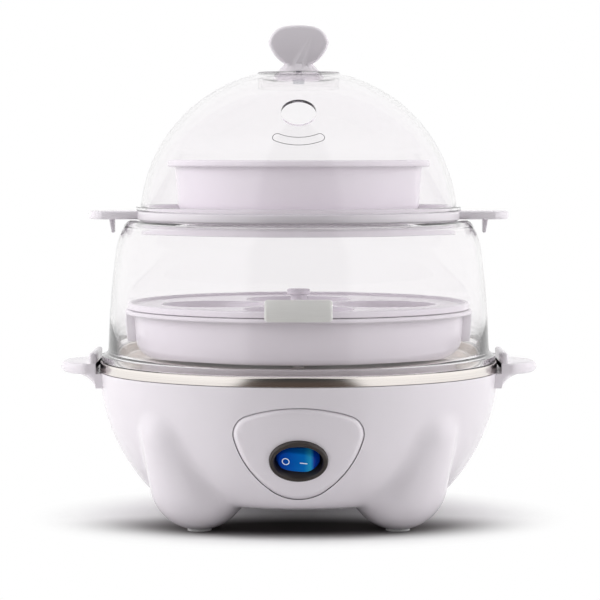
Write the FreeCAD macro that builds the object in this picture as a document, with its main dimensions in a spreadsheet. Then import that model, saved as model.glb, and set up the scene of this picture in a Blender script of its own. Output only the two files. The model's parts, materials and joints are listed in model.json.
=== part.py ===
import FreeCAD, Part
import Sketcher
import math
import os
import re

# Two-tier electric egg cooker. Millimetres, origin on the floor under the middle,
# +Z up, the switch faces -Y and the handles lie along X.

V = FreeCAD.Vector

sizes = {
    # base shell: an arc turned about the middle
    "base_bend": 92.7,
    "base_reveal": 0.33,
    "base_bend_level": 79.6,
    "base_floor": 13.0,
    "base_top": 76.0,
    "base_wall": 2.6,
    "ledge_width": 6.0,
    "ledge_depth": 3.0,
    # feet: tapered capsules that lean outwards
    "foot_circle": 70.0,
    "foot_bend": 25.0,
    "foot_lift": 0.25,
    "foot_head_circle": 84.0,
    "foot_head_level": 50.0,
    "foot_head_bend": 18.5,
    "foot_turn": 45.0,
    "foot_count": 4,
    "foot_wall": 3.2,
    "pad_bend": 6.0,
    "pad_depth": 1.8,
    "pad_fit": 0.15,
    # side handles
    "handle_reach": 21.2,
    "handle_sink": 4.3,
    "handle_width": 46.0,
    "handle_end_depth": 13.5,
    "handle_end_bend": 26.3,
    "handle_rise": 5.0,
    "handle_lip": 5.4,
    "handle_nose_bend": 2.81,
    "handle_depth": 12.6,
    "handle_web_bend": 22.0,
    "fin_gap": 0.9,
    "fin_wall": 3.3,
    "fin_height": 5.3,
    # switch panel
    "panel_shoulder_half": 25.0,
    "panel_shoulder_level": 62.0,
    "panel_side_half": 30.8,
    "panel_side_level": 50.5,
    "panel_foot_half": 14.1,
    "panel_foot_level": 24.9,
    "panel_top_bend": 78.3,
    "panel_corner_bend": 7.1,
    "panel_side_bend": 51.6,
    "panel_foot_bend": 21.4,
    "panel_proud": 1.2,
    "panel_fit": 0.2,
    "panel_flange": 2.6,
    "panel_flange_wall": 1.6,
    # rocker switch
    "switch_level": 40.0,
    "switch_lean": 25.5,
    "bezel_length": 28.4,
    "bezel_height": 22.4,
    "bezel_seat": 1.1,
    "bezel_thickness": 2.4,
    "bezel_fit": 0.2,
    "switch_body_length": 25.0,
    "switch_body_height": 14.6,
    "switch_body_corner": 4.4,
    "switch_body_depth": 17.0,
    "switch_well_length": 22.4,
    "switch_well_height": 11.8,
    "switch_well_corner": 2.2,
    "switch_well_depth": 12.0,
    "rocker_height": 11.1,
    "rocker_bend": 10.9,
    "rocker_pivot_depth": 6.0,
    "rocker_low_turn": 8.0,
    "rocker_high_turn": 41.0,
    "rocker_hub": 2.6,
    "rocker_corner": 3.0,
    "rocker_rest": 11.0,
    "pivot_bend": 1.2,
    "pivot_fit": 0.05,
    "pivot_length": 1.0,
    "terminal_width": 4.8,
    "terminal_thickness": 0.8,
    "terminal_length": 8.0,
    "terminal_pitch": 7.0,
    "lamp_bend": 1.6,
    "lamp_length": 5.0,
    # heating dish
    "plate_rim": 102.3,
    "plate_sheet": 0.8,
    "plate_rim_rise": 5.0,
    "plate_hang": 0.2,
    "plate_depth": 9.0,
    "plate_rim_width": 7.1,
    "gasket_gap": 0.4,
    "spreader_bend": 60.0,
    "spreader_thickness": 5.0,
    "element_circle": 48.0,
    "element_bend": 3.6,
    "element_gap_turn": 30.0,
    "pin_turn": 4.0,
    "pin_offset": 1.0,
    "pin_bend": 2.0,
    "pin_length": 7.0,
    "stud_inset": 8.0,
    "stud_count": 3,
    "stud_bend": 2.0,
    "stud_tail": 7.0,
    "stud_fit": 0.3,
    "ear_lip": 6.0,
    "ear_half": 7.0,
    "ear_gap": 0.4,
    "ear_drop": 6.0,
    "ear_thickness": 3.0,
    "nut_flats": 7.0,
    "nut_thickness": 3.2,
    "shield_bend": 64.0,
    "shield_drop": 24.0,
    "shield_sheet": 1.0,
    "shield_lip": 6.0,
    "post_circle": 56.0,
    "post_count": 3,
    "post_turn": 60.0,
    "post_bend": 2.4,
    "post_screw_bend": 1.5,
    "post_screw_head": 2.8,
    "post_screw_head_height": 2.0,
    "post_screw_grip": 6.0,
    "thermostat_bend": 8.5,
    "thermostat_height": 9.0,
    "strap_width": 10.0,
    "strap_sheet": 1.0,
    "strap_reach": 18.0,
    "fuse_place": 31.5,
    "fuse_bend": 2.5,
    "fuse_length": 22.0,
    "clip_width": 6.0,
    "clip_sheet": 0.8,
    # parts on the floor of the base
    "cover_bend": 43.6,
    "cover_fit": 0.4,
    "cover_sheet": 1.4,
    "cover_opening": 34.0,
    "cover_screw_circle": 38.5,
    "cover_screw_count": 4,
    "cover_screw_bend": 1.5,
    "cover_screw_head": 2.8,
    "cover_screw_head_height": 0.9,
    "cover_screw_length": 8.0,
    "cover_slot_length": 30.0,
    "cover_slot_width": 3.0,
    "cover_slot_pitch": 9.0,
    "boss_bend": 3.6,
    "boss_height": 7.0,
    "block_length": 30.0,
    "block_depth": 14.0,
    "block_height": 12.0,
    "block_inset": 16.42,
    "block_pole_bend": 2.2,
    "block_pole_pitch": 9.0,
    "block_pole_depth": 5.0,
    "buzzer_inset": 16.42,
    "buzzer_bend": 10.5,
    "buzzer_height": 7.0,
    "buzzer_hole_bend": 1.5,
    "buzzer_hole_depth": 2.0,
    "wire_bend": 1.1,
    # inlet at the back
    "cord_level": 36.0,
    "cord_lean": 28.0,
    "cord_bend": 3.6,
    "grommet_neck": 6.0,
    "grommet_flange": 9.0,
    "grommet_flange_wall": 2.0,
    "grommet_gap": 0.4,
    "grommet_nut": 8.0,
    "grommet_fit": 0.15,
    "grommet_inside": 5.0,
    "grommet_tail": 10.0,
    "grommet_tail_end": 4.8,
    # lower tier
    "seat_gap": 0.3,
    "ring_setback": 0.8,
    "ring_foot_height": 3.1,
    "ring_flare": 2.6,
    "ring_flare_width": 3.43,
    "ring_flare_bend": 4.16,
    "ring_bend": 460.9,
    "ring_bend_drop": 5.1,
    "ring_wall": 2.1,
    "ring_side_height": 57.5,
    "ring_shoulder_bend": 34.0,
    "ring_brow_setback": 4.03,
    "ring_brow_rise": 11.6,
    "ring_brow_bend": 4.6,
    "ring_crown_setback": 3.3,
    "ring_crown_rise": 3.0,
    "ring_neck_setback": 5.0,
    "ring_neck_height": 3.8,
    "badge_width": 32.8,
    "badge_height": 10.7,
    "badge_rise": 31.2,
    "badge_sheet": 0.6,
    "tub_clearance": 10.8,
    "tub_lift": 6.0,
    "tub_corner": 9.4,
    "tub_wall": 2.0,
    "tub_flange_width": 5.0,
    "tub_depth": 27.8,
    "tub_flange_thickness": 2.1,
    "lug_half": 7.0,
    "lug_reach": 4.6,
    "lug_count": 2,
    "nub_inset": 18.4,
    "nub_bend": 3.0,
    "nub_count": 4,
    "tray_setback": 1.5,
    "tray_lip_width": 2.0,
    "tray_lip_height": 3.3,
    "tray_web": 1.8,
    "cup_circle": 43.0,
    "cup_mouth": 28.0,
    "cup_depth": 18.5,
    "cup_wall": 1.6,
    "cup_count": 4,
    "lifter_bend": 6.0,
    "lifter_neck": 4.0,
    "lifter_height": 8.0,
    "lifter_cap": 3.0,
    # upper tier
    "deck_rest": 1.5,
    "deck_rim_width": 3.6,
    "deck_rim_height": 4.5,
    "deck_floor_drop": 1.0,
    "deck_floor_sheet": 2.0,
    "deck_fit": 0.8,
    "deck_skirt_wall": 1.6,
    "deck_skirt_drop": 6.7,
    "deck_curb_setback": 2.4,
    "deck_curb_wall": 1.6,
    "deck_curb_height": 2.0,
    "steam_inset": 5.8,
    "steam_bend": 3.0,
    "steam_count": 12,
    "tab_reach": 25.0,
    "tab_width": 24.0,
    "tab_end_bend": 13.0,
    "tab_thickness": 4.2,
    "tab_count": 2,
    "prong_clearance": 0.87,
    "prong_root": 2.6,
    "prong_narrow": 1.4,
    "prong_drop": 6.7,
    "prong_width": 8.0,
    "bowl_clearance": 14.8,
    "bowl_flare": 1.5,
    "bowl_corner": 6.0,
    "bowl_rim_width": 4.0,
    "bowl_depth": 25.8,
    "bowl_rim_thickness": 3.3,
    "bowl_wall": 2.0,
    "dome_overhang": 0.5,
    "dome_foot_width": 2.31,
    "dome_foot_thickness": 2.0,
    "dome_bend": 77.4,
    "dome_bend_drop": 5.5,
    "dome_wall": 2.2,
    "dome_crown": 21.0,
    "dome_crown_step": 0.63,
    "dome_rib_wall": 2.0,
    "dome_rib_depth": 8.0,
    "vent_bend": 8.7,
    "vent_reach": 58.4,
    "vent_lean": 33.0,
    # knob
    "knob_rise": 23.9,
    "knob_crown_half": 6.5,
    "knob_crown_drop": 0.5,
    "knob_crown_bend": 42.5,
    "knob_half": 15.4,
    "knob_waist_rise": 14.8,
    "knob_corner_bend": 10.2,
    "knob_neck_half": 6.4,
    "knob_neck_rise": 4.0,
    "knob_cheek_bend": 17.0,
    "knob_thickness": 14.0,
    "knob_foot": 10.5,
    "knob_foot_edge": 0.8,
    "knob_washer": 11.0,
    "knob_washer_sheet": 1.5,
    "knob_screw_bend": 1.6,
    "knob_screw_fit": 0.2,
    "knob_screw_head": 3.0,
    "knob_screw_head_height": 2.0,
    "knob_screw_grip": 12.0,
}



def arc_reach(part, level, inset="0"):
    """Distance from the upright axis to a turned arc at a level, inset by a wall."""
    bend = f"({part}_bend - ({inset}))"
    return f"{part}_bend_middle + sqrt({bend} * {bend} - (({level}) - {part}_bend_level)^2)"


def arc_level(part, reach, inset="0"):
    bend = f"({part}_bend - ({inset}))"
    return f"{part}_bend_level + sqrt({bend} * {bend} - (({reach}) - {part}_bend_middle)^2)"


def arc_middle(part, reach, level):
    """Where an arc of a known bend and level has its middle, to pass through one point."""
    return f"{reach} - sqrt({part}_bend^2 - (({level}) - {part}_bend_level)^2)"


# where the pieces seat on and fit into each other, each a formula on the sizes
fits = {
    "plate_top": "base_top + plate_rim_rise",
    "plate_floor": "plate_top - plate_depth",
    "plate_well": "plate_rim - plate_rim_width",
    "base_rim": "plate_rim + base_reveal",
    "base_bend_middle": arc_middle("base", "base_rim", "base_top"),
    "floor_reach": arc_reach("base", "base_floor + base_wall", "base_wall"),
    "block_place": "floor_reach - block_inset",
    "buzzer_place": "floor_reach - buzzer_inset",
    "fin_inside": "plate_rim + fin_gap",
    "handle_tip": "plate_rim + handle_reach",
    "handle_root": "plate_rim - handle_sink",
    "handle_shoulder": "handle_tip - handle_end_depth",
    "handle_top": "base_top + handle_rise",
    "handle_foot": "handle_top - handle_depth",
    "fin_top": "handle_top + fin_height",
    "stud_circle": "plate_well + plate_sheet - stud_inset",
    "ear_inside": "stud_circle - ear_lip",
    "ear_level": "plate_floor - ear_drop",
    "stud_end": "ear_level - stud_tail",
    "shield_level": "plate_floor - shield_drop",
    "ring_foot": "plate_top + seat_gap",
    "ring_foot_bend": "plate_rim - ring_setback",
    "ring_flare_level": "ring_foot + ring_foot_height + ring_flare",
    "ring_bend_level": "ring_foot - ring_bend_drop",
    "ring_bend_middle": arc_middle("ring", "ring_foot_bend - ring_flare_width",
                                   "ring_flare_level"),
    "ring_shoulder_level": "ring_foot + ring_side_height",
    "ring_shoulder": arc_reach("ring", "ring_shoulder_level"),
    "ring_brow": "ring_shoulder - ring_brow_setback",
    "ring_brow_level": "ring_shoulder_level + ring_brow_rise",
    "ring_crown": "ring_brow - ring_crown_setback",
    "ring_top": "ring_brow_level + ring_crown_rise",
    "ring_neck": "ring_crown - ring_neck_setback",
    "badge_level": "ring_foot + badge_rise",
    "tub_bend": "plate_well - tub_clearance",
    "tub_floor": "plate_floor + tub_lift",
    "tub_flange": "tub_bend + tub_flange_width",
    "tub_flange_level": "tub_floor + tub_depth",
    "nub_circle": "tub_bend - nub_inset",
    "tray_bend": "tub_flange - tray_setback",
    "deck_seat": "ring_top + seat_gap",
    "deck_skirt": "ring_neck - deck_fit",
    "deck_skirt_end": "deck_seat - deck_skirt_drop",
    "deck_bend": "ring_neck + deck_rest",
    "deck_floor_top": "deck_seat + deck_floor_drop",
    "deck_curb": "deck_skirt - deck_curb_setback",
    "steam_circle": "deck_curb - deck_curb_wall - steam_inset",
    "tab_tip": "deck_bend + tab_reach",
    "prong_near": "ring_shoulder + prong_clearance",
    "prong_far": "prong_near + prong_root",
    "prong_end": "deck_seat - prong_drop",
    "bowl_stand": "deck_floor_top + seat_gap",
    "bowl_foot": "deck_curb - deck_curb_wall - bowl_clearance",
    "bowl_waist": "bowl_foot + bowl_flare",
    "bowl_rim": "bowl_waist + bowl_rim_width",
    "bowl_rim_level": "bowl_stand + bowl_depth",
    "dome_seat": "deck_seat + deck_rim_height + seat_gap",
    "dome_foot": "deck_bend + dome_overhang",
    "dome_foot_top": "dome_seat + dome_foot_thickness",
    "dome_bend_level": "dome_seat - dome_bend_drop",
    "dome_bend_middle": arc_middle("dome", "dome_foot - dome_foot_width", "dome_foot_top"),
    "dome_top": arc_level("dome", "dome_crown") + " + dome_crown_step",
    "dome_rib_end": "dome_top - dome_rib_depth",
    "vent_level": arc_level("dome", "vent_reach"),
    "knob_top": "dome_top + knob_rise",
    "knob_waist_level": "dome_top + knob_waist_rise",
    "knob_neck_level": "dome_top + knob_neck_rise",
}

doc = FreeCAD.newDocument("EggCooker")
sheet = doc.addObject("Spreadsheet::Sheet", "Sizes")
for row, (alias, value) in enumerate(sizes.items(), start=1):
    sheet.set(f"A{row}", alias)
    sheet.set(f"B{row}", str(value))
    sheet.setAlias(f"B{row}", alias)


def bound(text):
    """An expression with each name tied to the sheet that holds it."""
    def spelled(word):
        name = word.group()
        return "Sizes." + name if name in sizes else "Fits." + name if name in fits else name
    return re.sub(r"[a-z]+(?:_[a-z]+)*", spelled, str(text))


fit_sheet = doc.addObject("Spreadsheet::Sheet", "Fits")
for row, (alias, formula) in enumerate(fits.items(), start=1):
    fit_sheet.set(f"A{row}", alias)
    fit_sheet.set(f"B{row}", "=" + bound(formula).replace("Fits.", ""))
    fit_sheet.setAlias(f"B{row}", alias)
doc.recompute()


def size(text):
    """The number that an expression on the sheets' names gives."""
    return float(sheet.evalExpression(bound(text)))


def origin_feature(body, role):
    return next(item for item in body.Origin.OriginFeatures if item.Role == role)


def new_body(name):
    body = doc.addObject("PartDesign::Body", name)
    body.Label = name
    return body


planes = {
    "XY_Plane": FreeCAD.Rotation(),
    "XZ_Plane": FreeCAD.Rotation(V(1, 0, 0), 90),
}


def new_sketch(owner, name, plane="XZ_Plane", along="0", up="0", lift="0", turn="0"):
    """A sketch on a body's own plane, or a free one when there is no body.

    along, up and lift move it in the plane and off it; turn swings it about its upright axis.
    """
    if owner is None:
        sketch = doc.addObject("Sketcher::SketchObject", name)
        sketch.Placement = FreeCAD.Placement(V(), planes[plane])
        if plane == "XY_Plane":
            sketch.setExpression("Placement.Base.z", bound(lift))
        else:
            sketch.setExpression("Placement.Base.y", bound(f"-({lift})"))
        return sketch
    sketch = owner.newObject("Sketcher::SketchObject", name)
    sketch.AttachmentSupport = [(origin_feature(owner, plane), "")]
    sketch.MapMode = "FlatFace"
    if turn != "0":
        sketch.AttachmentOffset = FreeCAD.Placement(V(), FreeCAD.Rotation(V(0, 1, 0), 1))
        sketch.setExpression("AttachmentOffset.Rotation.Angle", bound(turn))
    for place, text in (("x", along), ("y", up), ("z", lift)):
        if text != "0":
            sketch.setExpression(f"AttachmentOffset.Base.{place}", bound(text))
    return sketch


def hold(sketch, kind, geometry, point, text):
    """Ties one point's distance from the sketch's origin to an expression."""
    index = sketch.addConstraint(Sketcher.Constraint(kind, -1, 1, geometry, point, size(text)))
    sketch.setExpression(f"Constraints[{index}]", bound(text))


def closed(sketch, points):
    """A closed outline. A point is (x, y) or (x, y, bend): bend is the radius of the arc
    to the next point, positive when its middle lies on the left of the way there."""
    first = sketch.GeometryCount
    ends = []
    for here, (point, following) in enumerate(zip(points, points[1:] + points[:1])):
        start = V(size(point[0]), size(point[1]), 0)
        stop = V(size(following[0]), size(following[1]), 0)
        if len(point) == 2:
            sketch.addGeometry(Part.LineSegment(start, stop), False)
            ends.append((1, 2))
            continue
        bend = size(point[2])
        chord = stop - start
        left = V(-chord.y, chord.x, 0).normalize()
        depth = math.sqrt(max(bend * bend - chord.Length ** 2 / 4, 0))
        middle = (start + stop) * 0.5 + left * math.copysign(depth, bend)
        way = (start, stop) if bend > 0 else (stop, start)
        low, high = (math.atan2(end.y - middle.y, end.x - middle.x) for end in way)
        if high < low:
            high += 2 * math.pi
        circle = Part.Circle(middle, V(0, 0, 1), abs(bend))
        sketch.addGeometry(Part.ArcOfCircle(circle, low, high), False)
        ends.append((1, 2) if bend > 0 else (2, 1))
    count = len(points)
    for here, point in enumerate(points):
        geometry = first + here
        following = first + (here + 1) % count
        meets = ends[(here + 1) % count][0]
        sketch.addConstraint(Sketcher.Constraint("Coincident", geometry, ends[here][1],
                                                 following, meets))
        hold(sketch, "DistanceX", geometry, ends[here][0], point[0])
        hold(sketch, "DistanceY", geometry, ends[here][0], point[1])
        if len(point) == 3:
            text = point[2] if size(point[2]) > 0 else f"-({point[2]})"
            index = sketch.addConstraint(Sketcher.Constraint("Radius", geometry, size(text)))
            sketch.setExpression(f"Constraints[{index}]", bound(text))
    return sketch


def round_hole(sketch, across, up, bend):
    geometry = sketch.addGeometry(Part.Circle(V(size(across), size(up), 0), V(0, 0, 1),
                                              size(bend)), False)
    hold(sketch, "DistanceX", geometry, 3, across)
    hold(sketch, "DistanceY", geometry, 3, up)
    index = sketch.addConstraint(Sketcher.Constraint("Radius", geometry, size(bend)))
    sketch.setExpression(f"Constraints[{index}]", bound(bend))
    return sketch


def box_outline(sketch, near, far, low, high):
    return closed(sketch, [(near, low), (far, low), (far, high), (near, high)])


def oval(sketch, length, height):
    ellipse = Part.Ellipse(V(size(length) / 2, 0, 0), V(0, size(height) / 2, 0), V(0, 0, 0))
    sketch.addGeometry(ellipse, False)
    sketch.exposeInternalGeometry(0)
    sketch.addConstraint(Sketcher.Constraint("Coincident", 0, 3, -1, 1))
    sketch.addConstraint(Sketcher.Constraint("Horizontal", 1))
    for axis, text in ((1, length), (2, height)):
        index = sketch.addConstraint(Sketcher.Constraint("Distance", axis, size(text)))
        sketch.setExpression(f"Constraints[{index}]", bound(text))
    return sketch


def rounded_box(sketch, length, height, corner):
    """A box about the sketch's origin with round corners."""
    far, inner = f"{length}/2", f"{length}/2 - {corner}"
    top, flat = f"{height}/2", f"{height}/2 - {corner}"
    return closed(sketch, [
        (f"-({inner})", f"-({top})"), (inner, f"-({top})", corner),
        (far, f"-({flat})"), (far, flat, corner),
        (inner, top), (f"-({inner})", top, corner),
        (f"-({far})", flat), (f"-({far})", f"-({flat})", corner)])


def turned(body, name, sketch, cut=False, axis="V_Axis", angle="360", midplane=False):
    kind = "PartDesign::Groove" if cut else "PartDesign::Revolution"
    feature = body.newObject(kind, name)
    feature.Profile = sketch
    feature.ReferenceAxis = (sketch, [axis])
    feature.setExpression("Angle", bound(angle))
    feature.Midplane = midplane
    return feature


def padded(body, name, sketch, length, midplane=False, backwards=False):
    feature = body.newObject("PartDesign::Pad", name)
    feature.Profile = sketch
    feature.setExpression("Length", bound(length))
    feature.Midplane = midplane
    feature.Reversed = backwards
    return feature


def pocketed(body, name, sketch, length=None, backwards=False):
    """A pocket of a stated depth, or right through both ways."""
    feature = body.newObject("PartDesign::Pocket", name)
    feature.Profile = sketch
    feature.Reversed = backwards
    if length is None:
        feature.Type = "ThroughAll"
        feature.Midplane = True
    else:
        feature.setExpression("Length", bound(length))
    return feature


def around(body, name, feature, count):
    doc.recompute()
    pattern = body.newObject("PartDesign::PolarPattern", name)
    pattern.Originals = [feature]
    pattern.Axis = (origin_feature(body, "Z_Axis"), [""])
    pattern.Angle = 360
    pattern.setExpression("Occurrences", bound(count))
    body.Tip = pattern
    return pattern


def turned_body(name, points, **where):
    body = new_body(name)
    sketch = closed(new_sketch(body, f"{name}_profile", **where), points)
    turned(body, f"{name}_turned", sketch)
    return body


def extruded(name, sketch, length, both_ways=False, backwards=False):
    solid = doc.addObject("Part::Extrusion", name)
    solid.Base = sketch
    solid.DirMode = "Normal"
    solid.Solid = True
    solid.Symmetric = both_ways
    solid.Reversed = backwards
    solid.setExpression("LengthFwd", bound(length))
    return solid


def cylinder(name, bend, length):
    solid = doc.addObject("Part::Cylinder", name)
    solid.setExpression("Radius", bound(bend))
    solid.setExpression("Height", bound(length))
    return solid


def joined(name, shapes):
    fuse = doc.addObject("Part::MultiFuse", name)
    fuse.Shapes = shapes
    fuse.Label = name
    return fuse


def cut_away(name, base, tools):
    cut = doc.addObject("Part::Cut", name)
    cut.Base = base
    cut.Tool = tools[0] if len(tools) == 1 else joined(f"{name}_tools", tools)
    cut.Label = name
    return cut


def shared(name, shapes):
    common = doc.addObject("Part::MultiCommon", name)
    common.Shapes = shapes
    common.Label = name
    return common


nodes = {}

ledge = "base_rim - ledge_width"
inner_floor = "base_floor + base_wall"


def capsule(body, name, shrink):
    """A tapered capsule between two balls, drawn upright and swung to the foot's direction."""
    sketch = new_sketch(body, f"{name}_profile", turn="-foot_turn")
    low = V(size("foot_circle"), size("foot_bend + foot_lift"), 0)
    high = V(size("foot_head_circle"), size("foot_head_level"), 0)
    low_bend = size(f"foot_bend - ({shrink})")
    high_bend = size(f"foot_head_bend - ({shrink})")
    lean = math.atan2(high.y - low.y, high.x - low.x)
    side = math.asin((low_bend - high_bend) / (high - low).Length)
    touch = lean - math.pi / 2 + side
    upright = V(0, 0, 1)
    low_arc = sketch.addGeometry(Part.ArcOfCircle(
        Part.Circle(low, upright, low_bend), lean - math.pi, touch), False)
    high_arc = sketch.addGeometry(Part.ArcOfCircle(
        Part.Circle(high, upright, high_bend), touch, lean), False)
    out = V(math.cos(touch), math.sin(touch), 0)
    flank = sketch.addGeometry(Part.LineSegment(low + out * low_bend, high + out * high_bend),
                               False)
    along = V(math.cos(lean), math.sin(lean), 0)
    spine = sketch.addGeometry(Part.LineSegment(high + along * high_bend,
                                                low - along * low_bend), False)
    middle = sketch.addGeometry(Part.LineSegment(low, high), True)
    tie = sketch.addConstraint
    for arc, across, up, bend in ((low_arc, "foot_circle", "foot_bend + foot_lift", "foot_bend"),
                                  (high_arc, "foot_head_circle", "foot_head_level",
                                   "foot_head_bend")):
        hold(sketch, "DistanceX", arc, 3, across)
        hold(sketch, "DistanceY", arc, 3, up)
        text = f"{bend} - ({shrink})"
        index = tie(Sketcher.Constraint("Radius", arc, size(text)))
        sketch.setExpression(f"Constraints[{index}]", bound(text))
    tie(Sketcher.Constraint("Tangent", low_arc, 2, flank, 1))
    tie(Sketcher.Constraint("Tangent", flank, 2, high_arc, 1))
    tie(Sketcher.Constraint("Coincident", high_arc, 2, spine, 1))
    tie(Sketcher.Constraint("Coincident", spine, 2, low_arc, 1))
    tie(Sketcher.Constraint("Coincident", middle, 1, low_arc, 3))
    tie(Sketcher.Constraint("Coincident", middle, 2, high_arc, 3))
    tie(Sketcher.Constraint("PointOnObject", high_arc, 2, middle))
    tie(Sketcher.Constraint("PointOnObject", low_arc, 1, middle))
    feature = turned(body, name, sketch, axis="Axis0")
    return around(body, f"{name}_four", feature, "foot_count")


def shield_outline(sketch):
    """The panel's outline seen from the front."""
    half = (("panel_shoulder_half", "panel_shoulder_level"),
            ("panel_side_half", "panel_side_level"),
            ("panel_foot_half", "panel_foot_level"))
    bends = ("panel_corner_bend", "panel_side_bend")
    right = [(x, y, f"-{bend}") for (x, y), bend in zip(half, bends)]
    left = [(f"-{x}", y, f"-{bend}") for (x, y), bend in
            zip(reversed(half[1:]), reversed(bends))]
    foot = [(*half[-1], "-panel_foot_bend")]
    crown = [(f"-{half[0][0]}", half[0][1], "-panel_top_bend")]
    return closed(sketch, right + foot + left + crown)


def front_prism(name, outline, grow):
    """The outline, grown by an offset, run from well inside the base to well outside."""
    offset = doc.addObject("Part::Offset2D", f"{name}_outline")
    offset.Source = outline
    offset.setExpression("Value", bound(grow))
    return extruded(name, offset, "base_bend * 1.5")


def base_shell():
    bowl = new_body("base_outside")
    profile = closed(new_sketch(bowl, "bowl_profile"), [
        ("0", "base_floor"), (arc_reach("base", "base_floor"), "base_floor", "base_bend"),
        ("base_rim", "base_top"), ("0", "base_top")])
    turned(bowl, "bowl_turned", profile)
    capsule(bowl, "foot", "0")

    side = closed(new_sketch(None, "handle_side"), [
        ("handle_root", "handle_foot"), ("fin_inside", "handle_foot", "-handle_web_bend"),
        ("handle_tip - handle_lip/2", "handle_top - handle_lip", "handle_nose_bend"),
        ("handle_tip - handle_lip/2", "handle_top"),
        ("fin_inside + fin_wall", "handle_top"), ("fin_inside + fin_wall", "fin_top"),
        ("fin_inside", "fin_top"), ("fin_inside", "base_top"), ("handle_root", "base_top")])
    plan = closed(new_sketch(None, "handle_plan", plane="XY_Plane", lift="handle_foot"), [
        ("handle_root", "-handle_width/2"),
        ("handle_shoulder", "-handle_width/2", "handle_end_bend"),
        ("handle_shoulder", "handle_width/2"), ("handle_root", "handle_width/2")])
    handle = shared("handle", [extruded("handle_run", side, "handle_width", both_ways=True),
                               extruded("handle_rise", plan, "fin_top - handle_foot")])
    other = doc.addObject("Part::Mirroring", "other_handle")
    other.Source = handle
    other.Normal = V(1, 0, 0)
    outside = joined("base_outer", [bowl, handle, other])

    inside = new_body("base_inside")
    cavity = closed(new_sketch(inside, "cavity_profile"), [
        ("0", inner_floor),
        (arc_reach("base", inner_floor, "base_wall"), inner_floor, "base_bend - base_wall"),
        (arc_reach("base", "base_top - ledge_depth", "base_wall"), "base_top - ledge_depth"),
        (ledge, "base_top - ledge_depth"), (ledge, "base_top + base_wall"),
        ("0", "base_top + base_wall")])
    turned(inside, "cavity_turned", cavity)
    capsule(inside, "foot_cavity", "foot_wall")
    opening = closed(new_sketch(inside, "cover_opening_profile"), [
        ("0", "0"), ("cover_bend + cover_fit", "0"),
        ("cover_bend + cover_fit", "base_floor + cover_sheet"),
        ("cover_opening", "base_floor + cover_sheet"), ("cover_opening", inner_floor),
        ("0", inner_floor)])
    turned(inside, "cover_opening_turned", opening)

    shell = cut_away("base_hollow", outside, [inside])
    ears = new_body("plate_ears")
    ear = box_outline(new_sketch(ears, "ear_outline", plane="XY_Plane", lift="ear_level"),
                      "ear_inside", arc_reach("base", "ear_level", "base_wall/2") + " - ear_gap",
                      "-ear_half", "ear_half")
    around(ears, "ears_around", padded(ears, "ear", ear, "ear_thickness"), "stud_count")
    bosses = new_body("cover_bosses")
    boss = round_hole(new_sketch(bosses, "boss_outline", plane="XY_Plane",
                                 lift="base_floor + cover_sheet"),
                      "cover_screw_circle", "0", "boss_bend")
    around(bosses, "bosses_around", padded(bosses, "boss", boss, "boss_height"),
           "cover_screw_count")
    whole = joined("base_whole", [shell, ears, bosses])

    holes = new_body("base_holes")
    stud_hole = round_hole(new_sketch(holes, "stud_hole", plane="XY_Plane",
                                      lift="ear_level - ear_thickness"),
                           "stud_circle", "0", "stud_bend + stud_fit")
    around(holes, "stud_holes", padded(holes, "stud_hole_pad", stud_hole, "ear_thickness * 3"),
           "stud_count")
    pilot = round_hole(new_sketch(holes, "pilot_hole", plane="XY_Plane", lift="base_floor"),
                       "cover_screw_circle", "0", "cover_screw_bend")
    around(holes, "pilot_holes", padded(holes, "pilot_pad", pilot, "cover_screw_length + pad_fit * 2"),
           "cover_screw_count")
    seat = closed(new_sketch(holes, "pad_seat", turn="-foot_turn", along=across_foot[0],
                             lift=across_foot[1]), [
        ("0", "0"), ("pad_bend + pad_fit", "0"), ("pad_bend + pad_fit", "pad_depth"),
        ("0", "pad_depth")])
    around(holes, "pad_seats", turned(holes, "pad_seat_turned", seat), "foot_count")

    panel_hole = front_prism("panel_hole", shield, "panel_fit")
    cord_hole = cylinder("cord_hole", "grommet_neck + grommet_fit", "base_wall * 8")
    set_in_cord_frame(cord_hole, "-base_wall * 5")
    housing = cut_away("base_housing", whole, [holes, panel_hole, cord_hole])
    nodes["base_housing"] = housing


across_foot = ("foot_circle * cos(foot_turn)", "-foot_circle * sin(foot_turn)")


def place_with(thing, axis, turn, across, forward, up):
    """Ties an object's Placement to expressions: a turn about one axis and a base point."""
    thing.Placement = FreeCAD.Placement(V(), FreeCAD.Rotation(axis, 1))
    thing.setExpression("Placement.Rotation.Angle", bound(turn))
    for place, text in (("x", across), ("y", forward), ("z", up)):
        thing.setExpression(f"Placement.Base.{place}", bound(text))


def set_in_cord_frame(thing, shift="0"):
    """Local z runs out of the back of the base, square to its wall."""
    reach = arc_reach("base", "cord_level")
    place_with(thing, V(1, 0, 0), "-90 - cord_lean", "0",
               f"{reach} + ({shift}) * cos(cord_lean)",
               f"cord_level - ({shift}) * sin(cord_lean)")


def set_in_switch_frame(thing, shift="0"):
    """Local z leaves the panel square to it, local y climbs the panel."""
    reach = arc_reach("base", "switch_level", "-panel_proud")
    place_with(thing, V(1, 0, 0), "90 + switch_lean", "0",
               f"-({reach}) - ({shift}) * cos(switch_lean)",
               f"switch_level - ({shift}) * sin(switch_lean)")


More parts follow.
